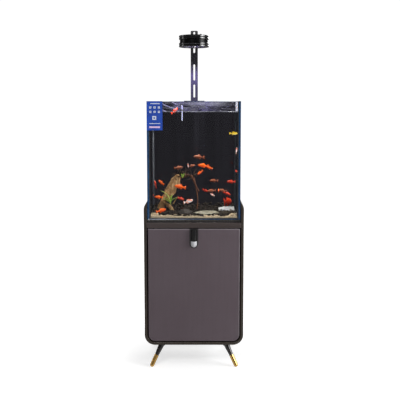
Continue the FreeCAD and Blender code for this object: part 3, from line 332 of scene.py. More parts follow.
ALONG_X = (0.06, 1.0, 1.0)
ALONG_Z = (1.0, 1.0, 0.06)
HOOP = lacquered("hoop_lacquer", (0.019, 0.013, 0.009), (0.034, 0.025, 0.018), 0.24, 0.38, ALONG_Z)
RAIL = lacquered("rail_lacquer", (0.036, 0.026, 0.024), (0.052, 0.039, 0.037), 0.30, 0.44, ALONG_X)
INNER = lacquered("inner_laminate", (0.07, 0.061, 0.062), (0.10, 0.09, 0.09), 0.5, 0.66, ALONG_X)


EDGE_HIGHLIGHT_WIDTH = 0.004  # width of the painted highlight strip


def door_finish():
    """A smooth matt lacquer in a warm charcoal mauve, with a painted highlight along its top and right edges.
    """
    made = Finish("door_lacquer", (0.1, 0.084, 0.094), 0.42, Specular_IOR_Level=0.4)
    board = made.stretched(ALONG_Z)
    cloud = made.grain(5.0, 3.0)
    fibre = made.grain(90.0, 5.0, 0.6, board)
    base = made.tint(cloud, (0.3, (0.092, 0.068, 0.080)), (0.75, (0.106, 0.082, 0.096)))
    body = made.mixed(made.between(fibre, 0.0, 0.35), base, (0.078, 0.060, 0.069))
    low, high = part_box("door")
    by_top = made.between(made.axis("Z"), 0.0, 1.0, high.z - EDGE_HIGHLIGHT_WIDTH, high.z)
    by_side = made.between(made.axis("X"), 0.0, 1.0, high.x - EDGE_HIGHLIGHT_WIDTH, high.x)
    # painted highlight: the colour turns paler along the top and right edges, where the edges catch the light
    painted_edge_highlight = made.sums("MAXIMUM", by_top, by_side)
    made.colour(made.mixed(made.between(painted_edge_highlight, 0.0, 0.55, 0.0, 1.0), body, (0.40, 0.36, 0.39)))
    made.roughness(made.between(made.grain(160.0, 2.0), 0.40, 0.52))
    made.relief(made.grain(420.0, 2.0), 0.10, 0.0002)
    return made.material


DOOR = door_finish()
print("wood finishes", HOOP.name, RAIL.name, INNER.name, DOOR.name)

# %% [markdown]
# ## Metals and plastics
# The legs are dark gloss paint, the foot caps polished brass with fine turning marks, the lamp gloss
# black with turned ridges, and the knobs and cups black plastic. Pins and bushes are blackened steel, and
# the door pull is a gloss black bar with a satin silver cap on a dull plate. Polished metal is never quite
# clean: the roughness wanders between two values, and brass keeps the turning lines of the lathe.

# %% Metal finishes
def painted(name, dark, light, smooth, rough, coat=0.0, speckle=900.0):
    made = Finish(name, light, rough, Specular_IOR_Level=0.5, Coat_Weight=coat, Coat_Roughness=0.06)
    worn(made, dark, light, smooth, rough)
    made.relief(made.grain(speckle, 2.0), 0.08, 0.0002)
    return made.material


def polished(name, dark, light, smooth, rough, lines=(1.0, 1.0, 9.0)):
    made = Finish(name, light, rough, Metallic=1.0)
    turned = made.grain(150.0, 3.0, 0.6, made.stretched(lines))
    made.colour(made.mixed(made.between(made.grain(14.0), 0.0, 1.0), dark, light))
    made.roughness(made.between(turned, smooth, rough))
    made.relief(turned, 0.10, 0.0002)
    return made.material


LEG = painted("leg_gloss_paint", (0.012, 0.009, 0.009), (0.020, 0.016, 0.015), 0.10, 0.2, 0.6)
BRASS = polished("foot_brass", (0.78, 0.44, 0.11), (0.96, 0.62, 0.20), 0.14, 0.26)
STEEL = polished("zinc_steel", (0.50, 0.50, 0.52), (0.68, 0.68, 0.69), 0.26, 0.42)
PULL_METAL = painted("pull_satin_silver", (0.46, 0.46, 0.48), (0.56, 0.56, 0.59), 0.30, 0.42, 0.4)
PULL_BLACK = painted("pull_gloss_black", (0.0012, 0.0012, 0.0014), (0.0026, 0.0026, 0.0028), 0.12, 0.2)
PULL_PLATE = painted("pull_plate_satin", (0.014, 0.013, 0.014), (0.024, 0.022, 0.023), 0.30, 0.42)
PLASTIC = painted("black_plastic", (0.012, 0.012, 0.013), (0.024, 0.024, 0.026), 0.38, 0.55, 0.0, 1600.0)


RIDGE_PITCH = 0.0088


def drum_finish():
    """Gloss black with turned ridges: the crests shine and the hollows between them stay dull."""
    made = Finish("lamp_gloss_black", (0.003, 0.003, 0.0035), 0.14)
    worn(made, (0.0012, 0.0012, 0.0015), (0.0022, 0.0022, 0.0026), 0.13, 0.19)
    height = made.sums("SUBTRACT", made.axis("Z"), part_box("lamp_lower_shell")[0].z)
    turns = made.sums("MULTIPLY", height, 2 * math.pi / RIDGE_PITCH)
    crest = made.between(made.sums("SINE", turns), 0.0, 1.0, -0.6, 0.6)
    made.put(made.between(crest, 0.40, 1.0, 0.0, 1.0), "Specular IOR Level")
    made.relief(made.grain(500.0, 2.0), 0.06, 0.0002)
    return made.material


LAMP = drum_finish()
CLAMP = painted("clamp_satin_black", (0.010, 0.0095, 0.0115), (0.017, 0.016, 0.019), 0.38, 0.52)
COLLAR = polished("collar_bright", (0.72, 0.72, 0.74), (0.84, 0.84, 0.86), 0.16, 0.24)
FINS = polished("anodised_fins", (0.24, 0.24, 0.25), (0.34, 0.34, 0.35), 0.34, 0.5, (9, 1, 1))


def dull(name, dark, light, smooth, rough, cells, lift, shine=0.35):
    """Foam, rubber and satin plastic: a small cell pattern and no coat."""
    made = Finish(name, light, rough, Specular_IOR_Level=shine)
    worn(made, dark, light, smooth, rough, 20.0)
    made.relief(made.cells(cells), lift, 0.0003)
    return made.material


FOAM = dull("mat_foam", (0.010, 0.010, 0.011), (0.022, 0.022, 0.023), 0.8, 0.95, 700.0, 0.6)
LAMP_BAND = dull(
    "lamp_band_satin", (0.0010, 0.0010, 0.0012), (0.002, 0.002, 0.0023), 0.22, 0.34, 900.0, 0.05, shine=0.12,
)
SILICONE = dull("silicone_bead", (0.02, 0.022, 0.026), (0.04, 0.043, 0.05), 0.3, 0.45, 120.0, 0.15)
RUBBER = dull("sucker_rubber", (0.03, 0.03, 0.032), (0.06, 0.06, 0.064), 0.35, 0.5, 300.0, 0.2)


def film_finish():
    """Black backing film with faint upright streaks where it does not cling to the glass.

    Its very weak glow stands for the light that the water scatters in front of it.
    """
    made = Finish("back_film", (0.016, 0.015, 0.018), 0.5, Specular_IOR_Level=0.2)
    streaks = made.grain(30.0, 4.0, 0.6, made.stretched((1.0, 1.0, 0.07)))
    loose = 0.8, (0.026, 0.025, 0.030)
    made.colour(made.tint(streaks, (0.35, (0.010, 0.009, 0.011)), (0.62, (0.016, 0.015, 0.018)), loose))
    haze = 0.8, (0.026, 0.024, 0.029)
    glow = made.tint(streaks, (0.35, (0.0095, 0.0085, 0.0105)), (0.62, (0.0140, 0.0125, 0.0155)), haze)
    made.put(glow, "Emission Color")
    made.shader.inputs["Emission Strength"].default_value = 1.0
    made.roughness(made.between(made.grain(60.0), 0.4, 0.6))
    made.relief(streaks, 0.1, 0.0003)
    return made.material


FILM = film_finish()
BLACK_STEEL = polished("blackened_steel", (0.02, 0.02, 0.021), (0.05, 0.05, 0.052), 0.3, 0.45)
print("metal, plastic and rubber finishes", len(bpy.data.materials))

# %% [markdown]
# ## The lamp's optics
# Under the drum a smoked lens covers a white board of light chips. The board glows a little, so the lamp
# looks lit from below, and two real lamps are placed under it: a white cone that falls on the water, and
# a violet one that is aimed at the mast. They ride on the lamp head, so they go up and down with it.

# %% Lens, board and light
def lens_finish():
    made = Finish("smoked_lens", (0.5, 0.48, 0.62), 0.12, Alpha=0.45, IOR=1.45)
    ribs = made.cells(180.0)
    made.roughness(made.between(ribs, 0.08, 0.22, 0.1, 0.6))
    made.relief(ribs, 0.3, 0.0006)
    return made.material


def board_finish():
    """White solder mask with faint tracks under it, and an even cool glow."""
    made = Finish("lamp_board", (0.78, 0.78, 0.76), 0.4)
    tracks = made.cells(300.0, "DISTANCE_TO_EDGE")
    made.colour(made.tint(tracks, (0.0, (0.62, 0.62, 0.60)), (0.08, (0.80, 0.80, 0.78))))
    made.shader.inputs["Emission Color"].default_value = (0.62, 0.52, 1.0, 1)
    made.shader.inputs["Emission Strength"].default_value = 1.6
    return made.material


LENS = lens_finish()
BOARD = board_finish()

lens_low, lens_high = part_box("lamp_lens")
MAST_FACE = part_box("mast")[0].y
UNDER_LENS = 0.010
CHIP_RADIUS = 0.03
LENS_SPOT = (lens_low + lens_high) / 2
LENS_SPOT.z = lens_low.z - UNDER_LENS


def lamp_cone(name, aim, angle_deg, softness, watts, tint):
    """A cone of light from under the lens; it rides on the lamp head."""
    data = bpy.data.lights.new(name, "SPOT")
    data.energy = watts
    data.color = tint
    data.spot_size = math.radians(angle_deg)
    data.spot_blend = softness
    data.shadow_soft_size = CHIP_RADIUS
    cone = bpy.data.objects.new(name, data)
    cone.location = LENS_SPOT
    cone.rotation_euler = (Vector(aim) - LENS_SPOT).to_track_quat("-Z", "Y").to_euler()
    bpy.context.scene.collection.objects.link(cone)
    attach(cone, "lamp_head")


lamp_cone("white_chips", (LENS_SPOT.x, LENS_SPOT.y - 0.02, 0), 50, 0.5, 20.0, (1.0, 0.94, 0.82))
lamp_cone("violet_chips", (0, MAST_FACE, LENS_SPOT.z - 0.165), 46, 0.8, 15.0, (0.42, 0.33, 1.0))
print("lamp cones from", [round(v, 3) for v in LENS_SPOT])

# %% [markdown]
# ## Glass
# The tank is float glass with polished edges. A pane is clear where you look through its face, and blue
# where you look into its cut edge, because there the light has come a long way through the glass. So a
# pane has two finishes: clear faces, and edges with a blue body. The clear one mixes a see-through and a
# mirror shader, and the mirror's share grows as the face is seen more edge on. That lets lamps shine
# through and stays free of noise. Only the water's two sides follow the Fresnel term, so from the front
# they mirror the tank, as the sides of a real one do.

# %% Glass finishes
def see_through(name, veil, face_on, gloss=0.02, total_from=None):
    """Clear glass or water: what lies behind, with a mirror that grows at grazing angles.

    face_on is the mirror's share when seen face on. With total_from, the share follows the Fresnel term
    of that refractive index instead, so that the skin becomes a full mirror when seen from inside.
    """
    made = bpy.data.materials.new(name)
    made.use_nodes = True
    tree = made.node_tree
    tree.nodes.clear()
    space = add_node(tree, "ShaderNodeTexCoord").outputs["Object"]
    wave = add_node(tree, "ShaderNodeTexNoise", {"Scale": 7.0, "Vector": space}).outputs["Fac"]
    uneven = add_node(tree, "ShaderNodeBump", {"Strength": 0.03, "Distance": 0.001, "Height": wave})
    if total_from:
        share = add_node(tree, "ShaderNodeFresnel", {"IOR": total_from}).outputs["Fac"]
    else:
        facing = add_node(tree, "ShaderNodeLayerWeight", {"Blend": 0.5}).outputs["Facing"]
        steep = add_node(tree, "ShaderNodeMath", {0: facing, 1: 5.0}, operation="POWER").outputs["Value"]
        share = add_node(tree, "ShaderNodeMapRange", {"To Min": face_on, "Value": steep}).outputs["Result"]
    clear = add_node(tree, "ShaderNodeBsdfTransparent", {"Color": (*veil, 1)}).outputs["BSDF"]
    mirror = add_node(tree, "ShaderNodeBsdfGlossy", {"Roughness": gloss, "Normal": uneven.outputs["Normal"]})
    mix = add_node(tree, "ShaderNodeMixShader", {0: share, 1: clear, 2: mirror.outputs["BSDF"]})
    add_node(tree, "ShaderNodeOutputMaterial", {"Surface": mix.outputs["Shader"]})
    return made


def edge_finish(name, dark, light):
    """The body colour of a polished glass edge, with the fine lines that the polishing belt leaves."""
    made = Finish(name, light, 0.16, IOR=1.5, Coat_Weight=0.5)
    belt = made.grain(60.0, 3.0, 0.6, made.stretched((3.0, 3.0, 0.4)))
    made.colour(made.tint(belt, (0.3, dark), (0.7, light)))
    made.roughness(made.between(belt, 0.10, 0.26))
    made.relief(made.grain(500.0), 0.1, 0.0002)
    return made.material


CLEAR = see_through("clear_glass", (0.985, 0.992, 1.0), 0.015)
EDGE = edge_finish("glass_cut_edge", (0.004, 0.040, 0.125), (0.022, 0.105, 0.25))
DARK_EDGE = edge_finish("glass_edge_on_mat", (0.010, 0.009, 0.010), (0.036, 0.032, 0.030))
WATER = see_through("tank_water", (0.96, 0.97, 0.985), 0.004)
WATER_SIDE = see_through("tank_water_side", (0.96, 0.97, 0.985), 0.0, total_from=1.25)
print("glass finishes", CLEAR.name, EDGE.name, WATER.name)

# %% [markdown]
# ## Building helpers
# `piece` turns a bmesh into a named object that rides on a CAD body. Shapes are placed inside the mesh, so
# that the finished object itself stays at the origin, unturned and unscaled, as the export needs. `block`
# makes a bevelled box, `spun` turns a profile round an axis, `absorb` gathers small shapes into one mesh,
# and `turned_to` gives the matrix that stands a shape up along any direction.

# %% Building helpers
def piece(name, bm, body, materials, replaces=(), smooth=True):
    """Turns a bmesh into a finished object on a CAD body."""
    mesh = bpy.data.meshes.new(name)
    bm.normal_update()
    bm.to_mesh(mesh)
    bm.free()
    for material in materials:
        mesh.materials.append(material)
    for face in mesh.polygons:
        face.use_smooth = smooth
    made = bpy.data.objects.new(name, mesh)
    bpy.context.scene.collection.objects.link(made)
    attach(made, body)
    if replaces:
        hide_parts(*replaces)
    print(f"{name}: {len(mesh.polygons)} faces")
    return made


def block(bm, low, high, bevel=0.0):
    """A box between two corners, with its edges rounded."""
    size = [h - l for l, h in zip(low, high)]
    middle = [(l + h) / 2 for l, h in zip(low, high)]
    place = Matrix.Translation(middle) @ Matrix.Diagonal((*size, 1))
    made = bmesh.ops.create_cube(bm, size=1.0, matrix=place)
    if bevel:
        edges = list({e for v in made["verts"] for e in v.link_edges})
        bmesh.ops.bevel(
            bm, geom=edges, offset=bevel, segments=2, affect="EDGES", profile=0.5, material=-1,
        )


def spun(bm, line, axis, steps):
    """Spins a line of points once round an axis through the origin."""
    verts = [bm.verts.new(point) for point in line]
    edges = [bm.edges.new(pair) for pair in zip(verts, verts[1:])]
    bmesh.ops.spin(
        bm, geom=verts + edges, cent=(0, 0, 0), axis=axis, angle=2 * math.pi, steps=steps,
        use_merge=True, use_duplicate=False,
    )


def close_holes(bm):
    bmesh.ops.holes_fill(bm, edges=[e for e in bm.edges if e.is_boundary], sides=0)


def absorb(whole, part):
    """Adds a small bmesh to a large one. Building in small parts keeps the operators quick."""
    mesh = bpy.data.meshes.new("part")
    part.to_mesh(mesh)
    part.free()
    whole.from_mesh(mesh)
    bpy.data.meshes.remove(mesh)


def turned_to(place, towards):
    """A matrix that carries +Z to the given direction, and the origin to the place."""
    return Matrix.Translation(place) @ Vector(towards).to_track_quat("Z", "Y").to_matrix().to_4x4()


print("building helpers ready")

# %% [markdown]
# ## The tank's panes
# Each pane is a thin block whose edges are bevelled by 0.8 mm, as the maker grinds them. The two faces
# that look along its thin direction are clear, and all the others are its cut edges and get the blue
# finish. Panes are drawn in by a fifth of a millimetre where they meet, because two faces in the same
# plane would flicker. The base pane's edge looks dark, because the black mat shows through it.

# %% Panes
PANE_GAP = 0.0002
GRIND = 0.0008


def pane(name, node, shrink, edge):
    """A bevelled pane in its CAD node's place, with clear faces and coloured cut edges."""
    low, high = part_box(node)
    low = Vector([l + s * PANE_GAP for l, s in zip(low, shrink)])
    high = Vector([h - s * PANE_GAP for h, s in zip(high, shrink)])
    thin = min(range(3), key=lambda i: high[i] - low[i])
    bm = bmesh.new()
    block(bm, low, high, GRIND)
    bm.normal_update()
    for face in bm.faces:
        face.material_index = 0 if abs(face.normal[thin]) > 0.98 else 1
    return piece(name, bm, "stand", [CLEAR, edge], [node], smooth=False)


for side, shrink in (("front", (0, 0, 1)), ("back", (0, 0, 1)), ("left", (0, 1, 1)), ("right", (0, 1, 1))):
    pane(f"{side}_pane", f"tank_{side}_glass", shrink, EDGE)
pane("base_pane", "tank_base_glass", (0, 0, 1), DARK_EDGE)

# %% [markdown]
# ## Water
# The water fills the tank to 45 mm under the rim. It is one closed block with a gently rippled top: its
# top face is subdivided, the new points are lifted by smooth noise, and the sides stay plain. It stands
# a little over half a millimetre clear of the glass, so that the two surfaces stay apart.

# %% Water
front_low, front_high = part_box("tank_front_glass")
IN_LOW = Vector((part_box("tank_left_glass")[1].x, front_high.y, front_low.z))
IN_HIGH = Vector((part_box("tank_right_glass")[0].x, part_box("tank_back_glass")[0].y, front_high.z))
FLOOR = IN_LOW.z
WATER_Z = IN_HIGH.z - 0.045
CLEAR_OF_GLASS = 0.0006
HAIR = 1e-4     # a distance that counts as touching
RIPPLE = 0.0016


def water_block():
    bm = bmesh.new()
    low = IN_LOW + Vector((1, 1, 1)) * CLEAR_OF_GLASS
    high = Vector((IN_HIGH.x, IN_HIGH.y, WATER_Z)) - Vector((1, 1, 0)) * CLEAR_OF_GLASS
    block(bm, low, high)
    top = [f for f in bm.faces if f.calc_center_median().z > high.z - HAIR]
    edges = list({e for f in top for e in f.edges})
    bmesh.ops.subdivide_edges(bm, edges=edges, cuts=40, use_grid_fill=True)
    for v in bm.verts:
        inside = all(low[i] + HAIR < v.co[i] < high[i] - HAIR for i in (0, 1))
        if v.co.z > high.z - HAIR and inside:
            v.co.z += RIPPLE * noise.noise(Vector((v.co.x * 22, v.co.y * 30, 3.0)))
    bmesh.ops.recalc_face_normals(bm, faces=bm.faces)
    for face in bm.faces:
        face.material_index = 1 if abs(face.normal.x) > 0.9 else 0
    return piece("water", bm, "stand", [WATER, WATER_SIDE], smooth=False)


water_block()

# %% [markdown]
# ## Spray and mist over the water line
# Above the water the inside of the glass is fogged and spotted by bursting bubbles. The lamp's violet light
# falls on the front and back panes and is also painted into the fog's colour there, and on the side panes a
# pale colour and a weak glow paint the soft box's white light. It is a very thin skin on all four panes,
# clear in streaks and milky in patches, with painted highlight streaks on the front, and a narrow glint where
# the water wets the front glass.

# %% Spray finish and skins
def spray_finish(name, skin, most, least, streak, glow=0.0, patch=None):
    """Fogged glass; glow paints light on it. A patch keeps it to (middle x, half width), thicker between two
    heights, with painted highlight streaks.
    """
    made = Finish(name, (0.82, 0.82, 0.88), 0.6, Specular_IOR_Level=0.3)
    runs = made.grain(34.0, 6.0, 0.7, made.stretched(streak), 1.2)
    drops = made.cells(260.0)
    veil = made.between(runs, least, most, 0.42, 0.72)
    if patch:
        middle, half_width, thin_z, thick_z = patch
        here = made.between(made.off("X", middle), 1.0, 0.0, 0.0, half_width)
        high = made.between(made.axis("Z"), 0.0, 0.5, thin_z, thick_z)
        veil = made.sums("MULTIPLY", made.sums("ADD", veil, high), here)
        tilted = made.stretched((1.0, 1.0, 1.0), (0.0, math.radians(62), 0.0))
        # painted highlight: bright slanting streaks on the left part of the patch
        painted_streak_highlight = made.between(made.bands(13.0, 3.0, tilted), 0.0, 0.6, 0.90, 0.995)
        to_left = made.between(made.axis("X"), 1.0, 0.0, -0.09, -0.05)
        veil = made.sums("MAXIMUM", veil, made.sums("MULTIPLY", painted_streak_highlight, to_left))
    dots = made.between(drops, 0.9, 0.0, 0.0, 0.16)
    made.put(made.sums("MAXIMUM", veil, made.sums("MULTIPLY", dots, veil)), "Alpha")
    made.colour(made.tint(runs, (0.3, skin), (0.7, (0.9, 0.9, 0.95))))
    made.relief(drops, 0.6, 0.0008)
    # painted light: a weak glow, though the fog is no lamp
    if glow:
        made.shader.inputs["Emission Color"].default_value = (0.9, 0.9, 1.0, 1)
        made.shader.inputs["Emission Strength"].default_value = glow
    return made.material


PATCH = (0.030, 0.130, WATER_Z + 0.022, IN_HIGH.z)
# the violet in these fog colours is partly painted lamp light
SPRAY_BACK = spray_finish("spray_on_back", (0.26, 0.22, 0.60), 0.17, 0.0, (0.6, 1.0, 3.0))
SPRAY_FRONT = spray_finish("spray_on_front", (0.34, 0.28, 0.74), 0.18, 0.0, (0.5, 1.0, 2.6), patch=PATCH)
# painted light: the side skins are pale and glow, standing in for the soft box's white light
SPRAY_SIDE = spray_finish("spray_on_side", (0.66, 0.66, 0.74), 0.95, 0.45, (1.0, 0.8, 2.0), glow=0.32)
WATER_LINE = spray_finish("water_line_glint", (0.7, 0.68, 0.82), 0.95, 0.25, (0.3, 1.0, 1.0))


def spray_skin(name, low, high, material):
    bm = bmesh.new()
    block(bm, low, high)
    return piece(name, bm, "stand", [material], smooth=False)


SKIN = 0.0003
OFF_GLASS = 0.0009
MARGIN = 0.002
SKIN_LOW = WATER_Z + 0.0012
SKIN_HIGH = IN_HIGH.z - 0.0015
for name, y, low_z, high_z, material in (
    ("spray_back", IN_HIGH.y - OFF_GLASS - SKIN, SKIN_LOW, SKIN_HIGH, SPRAY_BACK),
    ("spray_front", IN_LOW.y + OFF_GLASS, SKIN_LOW, SKIN_HIGH, SPRAY_FRONT),
    ("water_line", IN_LOW.y + 0.0001, WATER_Z - 0.0003, WATER_Z + 0.0009, WATER_LINE),
):
    spray_skin(name, (IN_LOW.x + MARGIN, y, low_z), (IN_HIGH.x - MARGIN, y + SKIN, high_z), material)
for side, x in (("left", IN_LOW.x + CLEAR_OF_GLASS), ("right", IN_HIGH.x - CLEAR_OF_GLASS - SKIN)):
    low, high = (x, IN_LOW.y + MARGIN, SKIN_LOW), (x + SKIN, IN_HIGH.y - MARGIN, SKIN_HIGH)
    spray_skin(f"spray_{side}", low, high, SPRAY_SIDE)

# %% [markdown]
# ## The label card and the thermometer
# The card is printed. Each bar of print is the product of four steps, two across and two up, so that its
# edges stay sharp. All marks are plain shapes. The thermometer's ticks repeat with the fraction of its
# height.

# %% Card finish
def card_finish():
    """A blue printed card with plain white bars, dots and one square mark, and no lettering."""
    made = Finish("label_card", (0.012, 0.075, 0.52), 0.32, Coat_Weight=0.4)
    low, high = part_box("label_card")
    across = made.between(made.axis("X"), 0.0, 1.0, low.x, high.x)
    up = made.between(made.axis("Z"), 0.0, 1.0, low.z, high.z)

    def inside(value, start, end):
        over = made.sums("GREATER_THAN", value, start)
        under = made.sums("LESS_THAN", value, end)
        return made.sums("MULTIPLY", over, under)

    def bar(x0, x1, z0, z1):
        return made.sums("MULTIPLY", inside(across, x0, x1), inside(up, z0, z1))

    def hollow(outer, inner):
        return made.sums("SUBTRACT", bar(*outer), bar(*inner))

    printed_marks = [
        hollow((x, x + 0.13, z, z + 0.07), (x + 0.045, x + 0.085, z + 0.02, z + 0.05))
        for z in (0.75, 0.60) for x in (0.17, 0.44, 0.71)
    ]
    printed_marks.append(hollow((0.36, 0.60, 0.36, 0.49), (0.43, 0.53, 0.40, 0.45)))
    printed_marks.append(bar(0.16, 0.86, 0.225, 0.245))
    marks = bar(0.24, 0.84, 0.905, 0.93)
    for mark in printed_marks:
        marks = made.sums("MAXIMUM", marks, mark)
    ink = made.grain(30.0, 4.0)
    blue = made.tint(ink, (0.3, (0.006, 0.044, 0.31)), (0.7, (0.012, 0.070, 0.44)))
    printed = made.mixed(marks, blue, (0.62, 0.66, 0.76))
    made.colour(made.mixed(bar(0.16, 0.84, 0.08, 0.14), printed, (0.72, 0.50, 0.74)))
    made.roughness(made.between(made.grain(200.0), 0.28, 0.42))
    return made.material


CARD = card_finish()


def gauge_finish():
    """A clear tube with a white scale strip: pale, with fine even ticks."""
    made = Finish("gauge_tube", (0.7, 0.74, 0.76), 0.1, Coat_Weight=1.0)
    low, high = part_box("thermometer")
    rise = made.between(made.axis("Z"), 0.0, 1.0, low.z, high.z)
    ticks = made.sums("FRACT", made.sums("MULTIPLY", rise, 24.0))
    strip = (0.18, (0.50, 0.52, 0.56)), (0.3, (0.56, 0.59, 0.63))
    made.colour(made.tint(ticks, (0.0, (0.12, 0.12, 0.13)), *strip))
    made.roughness(made.between(made.grain(120.0), 0.06, 0.14))
    return made.material


GAUGE = gauge_finish()
print("card and gauge finishes", CARD.name, GAUGE.name)

# %% [markdown]
# ## The other CAD parts
# These have the right shape already, so each only gets its finish. One list of finishes and part names
# keeps them together, and the last line prints the parts left over, which later cells replace.

# %% Give each CAD part its finish
FINISHES = [
    (HOOP, ["cabinet_hoop"]),
    (RAIL, ["top_board"]),
    (INNER, ["back_panel", "side_battens", "shelf"]),
    (DOOR, ["door"]),
    (STEEL, ["shelf_pins", "leg_plate_screws", "pull_screws", "mast_screws"]),
    (BLACK_STEEL, ["door_pivot_pins", "door_bushes", "catch_strike"]),
    (BRASS, [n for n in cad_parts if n.startswith("foot_cap")]),
    (LEG, ["leg_plates", *(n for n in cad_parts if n.startswith(("leg_front", "leg_back")))]),
    (PULL_PLATE, ["pull_plate"]),
    (PULL_BLACK, ["pull_bar"]),
    (PULL_METAL, ["pull_cap"]),
    (PLASTIC, ["catch_body", "carriage_knob", "pressure_cup_left", "pressure_cup_right", "lamp_inlet"]),
    (FOAM, ["tank_mat"]),
    (SILICONE, ["silicone_seams"]),
    (RUBBER, ["clamp_pad", "thermometer_sucker"]),
    (FILM, ["background_film"]),
    (CARD, ["label_card"]),
    (GAUGE, ["thermometer"]),
    (CLAMP, ["clamp_saddle", "mast", "lamp_arm", "clamp_screw_left", "clamp_screw_right"]),
    (LAMP, ["lamp_upper_shell", "lamp_lower_shell"]),
    (LAMP_BAND, ["lamp_band"]),
    (LENS, ["lamp_lens"]),
    (COLLAR, ["lens_collar"]),
    (BOARD, ["led_board"]),
    (FINS, ["heat_sink"]),
]


for material, nodes in FINISHES:
    for node in nodes:
        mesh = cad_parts[node].data
        mesh.materials.clear()
        mesh.materials.append(material)
finished = {node for _, nodes in FINISHES for node in nodes}
still_plain = [n for n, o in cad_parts.items() if n not in finished and not o.hide_render]
print("parts still to be replaced:", sorted(still_plain))

# %% [markdown]
# ## The cable grommet
# Lamp and pump leads leave the cabinet through a round hole in its back. A soft rubber grommet closes
# the hole and keeps daylight out: a lipped disc, spun from its profile, with flaps cut by thin slits.
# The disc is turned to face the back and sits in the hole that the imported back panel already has.

# %% Cable grommet
GROMMET_RADIUS = 0.0246
GROMMET_CENTRE = (0.120, 0.1525, 0.558)
GROMMET_LIP = [
    (0.0012, 0.0006), (0.0120, 0.0006), (0.0200, 0.0010), (0.0226, 0.0020), (GROMMET_RADIUS, 0.0020),
]


def grommet_finish():
    """Matt rubber with painted shade along eight slits that part the flaps."""
    made = Finish("grommet_rubber", (0.03, 0.03, 0.032), 0.6, Specular_IOR_Level=0.3)
    centred = {"Location": tuple(-v for v in GROMMET_CENTRE), "Vector": made.space}
    made.space = made.node("ShaderNodeMapping", centred).outputs["Vector"]
    angle = made.sums("ARCTAN2", made.axis("Z"), made.axis("X"))
    flap = made.sums("ABSOLUTE", made.sums("SINE", made.sums("MULTIPLY", angle, 4.0)))
    # painted shade: nearly black along the slits, and darker towards them
    painted_slit_shade = 0.0, (0.002, 0.002, 0.002)
    made.colour(made.tint(flap, painted_slit_shade, (0.12, (0.024, 0.024, 0.026)), (1.0, (0.038, 0.038, 0.040))))
    made.roughness(made.between(made.grain(400.0), 0.5, 0.75))
    made.relief(flap, 0.4, 0.0006)
    return made.material


def cable_grommet():
    bm = bmesh.new()
    profile = GROMMET_LIP + [(r, -z) for r, z in reversed(GROMMET_LIP)]
    spun(bm, [(r, 0, z) for r, z in profile], (0, 0, 1), 40)
    bmesh.ops.remove_doubles(bm, verts=bm.verts, dist=1e-6)
    close_holes(bm)
    bmesh.ops.recalc_face_normals(bm, faces=bm.faces)
    bmesh.ops.transform(bm, matrix=turned_to(GROMMET_CENTRE, (0, 1, 0)), verts=bm.verts)
    return piece("cable_grommet", bm, "stand", [grommet_finish()])


cable_grommet()

# %% [markdown]
# ## Sand and pebbles
# The bed is coarse cream sand that climbs a little to the back and to the left. A grid follows that
# slope with two sizes of smooth noise, its rim is drawn down to the glass floor to close it, and fine
# cell relief in the finish gives the grains. Loose pebbles lie on it, thick in the right front corner,
# and dark leaf litter covers it behind its bright front edge.

# %% Sand
def sand_finish(name, dark, light, cells):
    made = Finish(name, light, 0.85, Specular_IOR_Level=0.25)
    grit = made.cells(cells)
    speck = made.grain(cells * 0.9, 2.0)
    base = made.tint(speck, (0.30, dark), (0.50, light), (0.70, tuple(min(1.0, c * 1.18) for c in light)))
    made.colour(made.mixed(made.between(grit, 0.0, 0.5, 0.3, 0.9), base, dark))
    made.roughness(made.between(speck, 0.7, 0.95))
    made.relief(grit, 0.9, 0.0015)
    return made


def bed_finish():
    """Cream sand along the front glass and in the left corner, nearly black behind a ragged line near the
    front.
    """
    made = sand_finish("cream_sand", (0.20, 0.135, 0.075), (0.58, 0.46, 0.30), 380.0)
    ragged = made.sums("ADD", made.axis("Y"), made.between(made.grain(30.0, 5.0), -0.012, 0.012))
    corner = made.between(made.axis("X"), 0.045, 0.0, -0.165, -0.130)
    # nearly black behind a ragged line near the front glass
    behind = made.between(made.sums("SUBTRACT", ragged, corner), 0.0, 1.0, -0.126, -0.120)
    sandy = made.shader.inputs["Base Color"].links[0].from_socket
    made.colour(made.mixed(behind, sandy, (0.014, 0.009, 0.006)))
    return made.material


SAND = bed_finish()
PEBBLE = sand_finish("pebble_stone", (0.34, 0.24, 0.14), (0.66, 0.55, 0.38), 150.0).material
SEAM_CLEAR = 0.0056


def sand_level(x, y):
    """Height of the sand over the glass floor."""
    back = (y - IN_LOW.y) / (IN_HIGH.y - IN_LOW.y)
    left = max(0.0, -x / IN_HIGH.x)
    humps, grains = noise.noise(Vector((x * 16, y * 16, 1.0))), noise.noise(Vector((x * 60, y * 60, 2.0)))
    return FLOOR + 0.0105 + 0.013 * back + 0.006 * left * left + 0.003 * humps + 0.0012 * grains


def sand_bed():
    bm = bmesh.new()
    bmesh.ops.create_grid(bm, x_segments=120, y_segments=90, size=0.5)
    reach_x, reach_y = IN_HIGH.x - SEAM_CLEAR, IN_HIGH.y - SEAM_CLEAR
    bmesh.ops.transform(bm, matrix=Matrix.Diagonal((2 * reach_x, 2 * reach_y, 1, 1)), verts=bm.verts)
    for v in bm.verts:
        v.co.z = sand_level(v.co.x, v.co.y)
    rim = [e for e in bm.edges if e.is_boundary]
    foot = bmesh.ops.extrude_edge_only(bm, edges=rim)
    for v in [g for g in foot["geom"] if isinstance(g, bmesh.types.BMVert)]:
        v.co.z = FLOOR + CLEAR_OF_GLASS
    close_holes(bm)
    bmesh.ops.recalc_face_normals(bm, faces=bm.faces)
    return piece("sand_bed_visual", bm, "stand", [SAND], ["sand_bed"])


sand_bed()


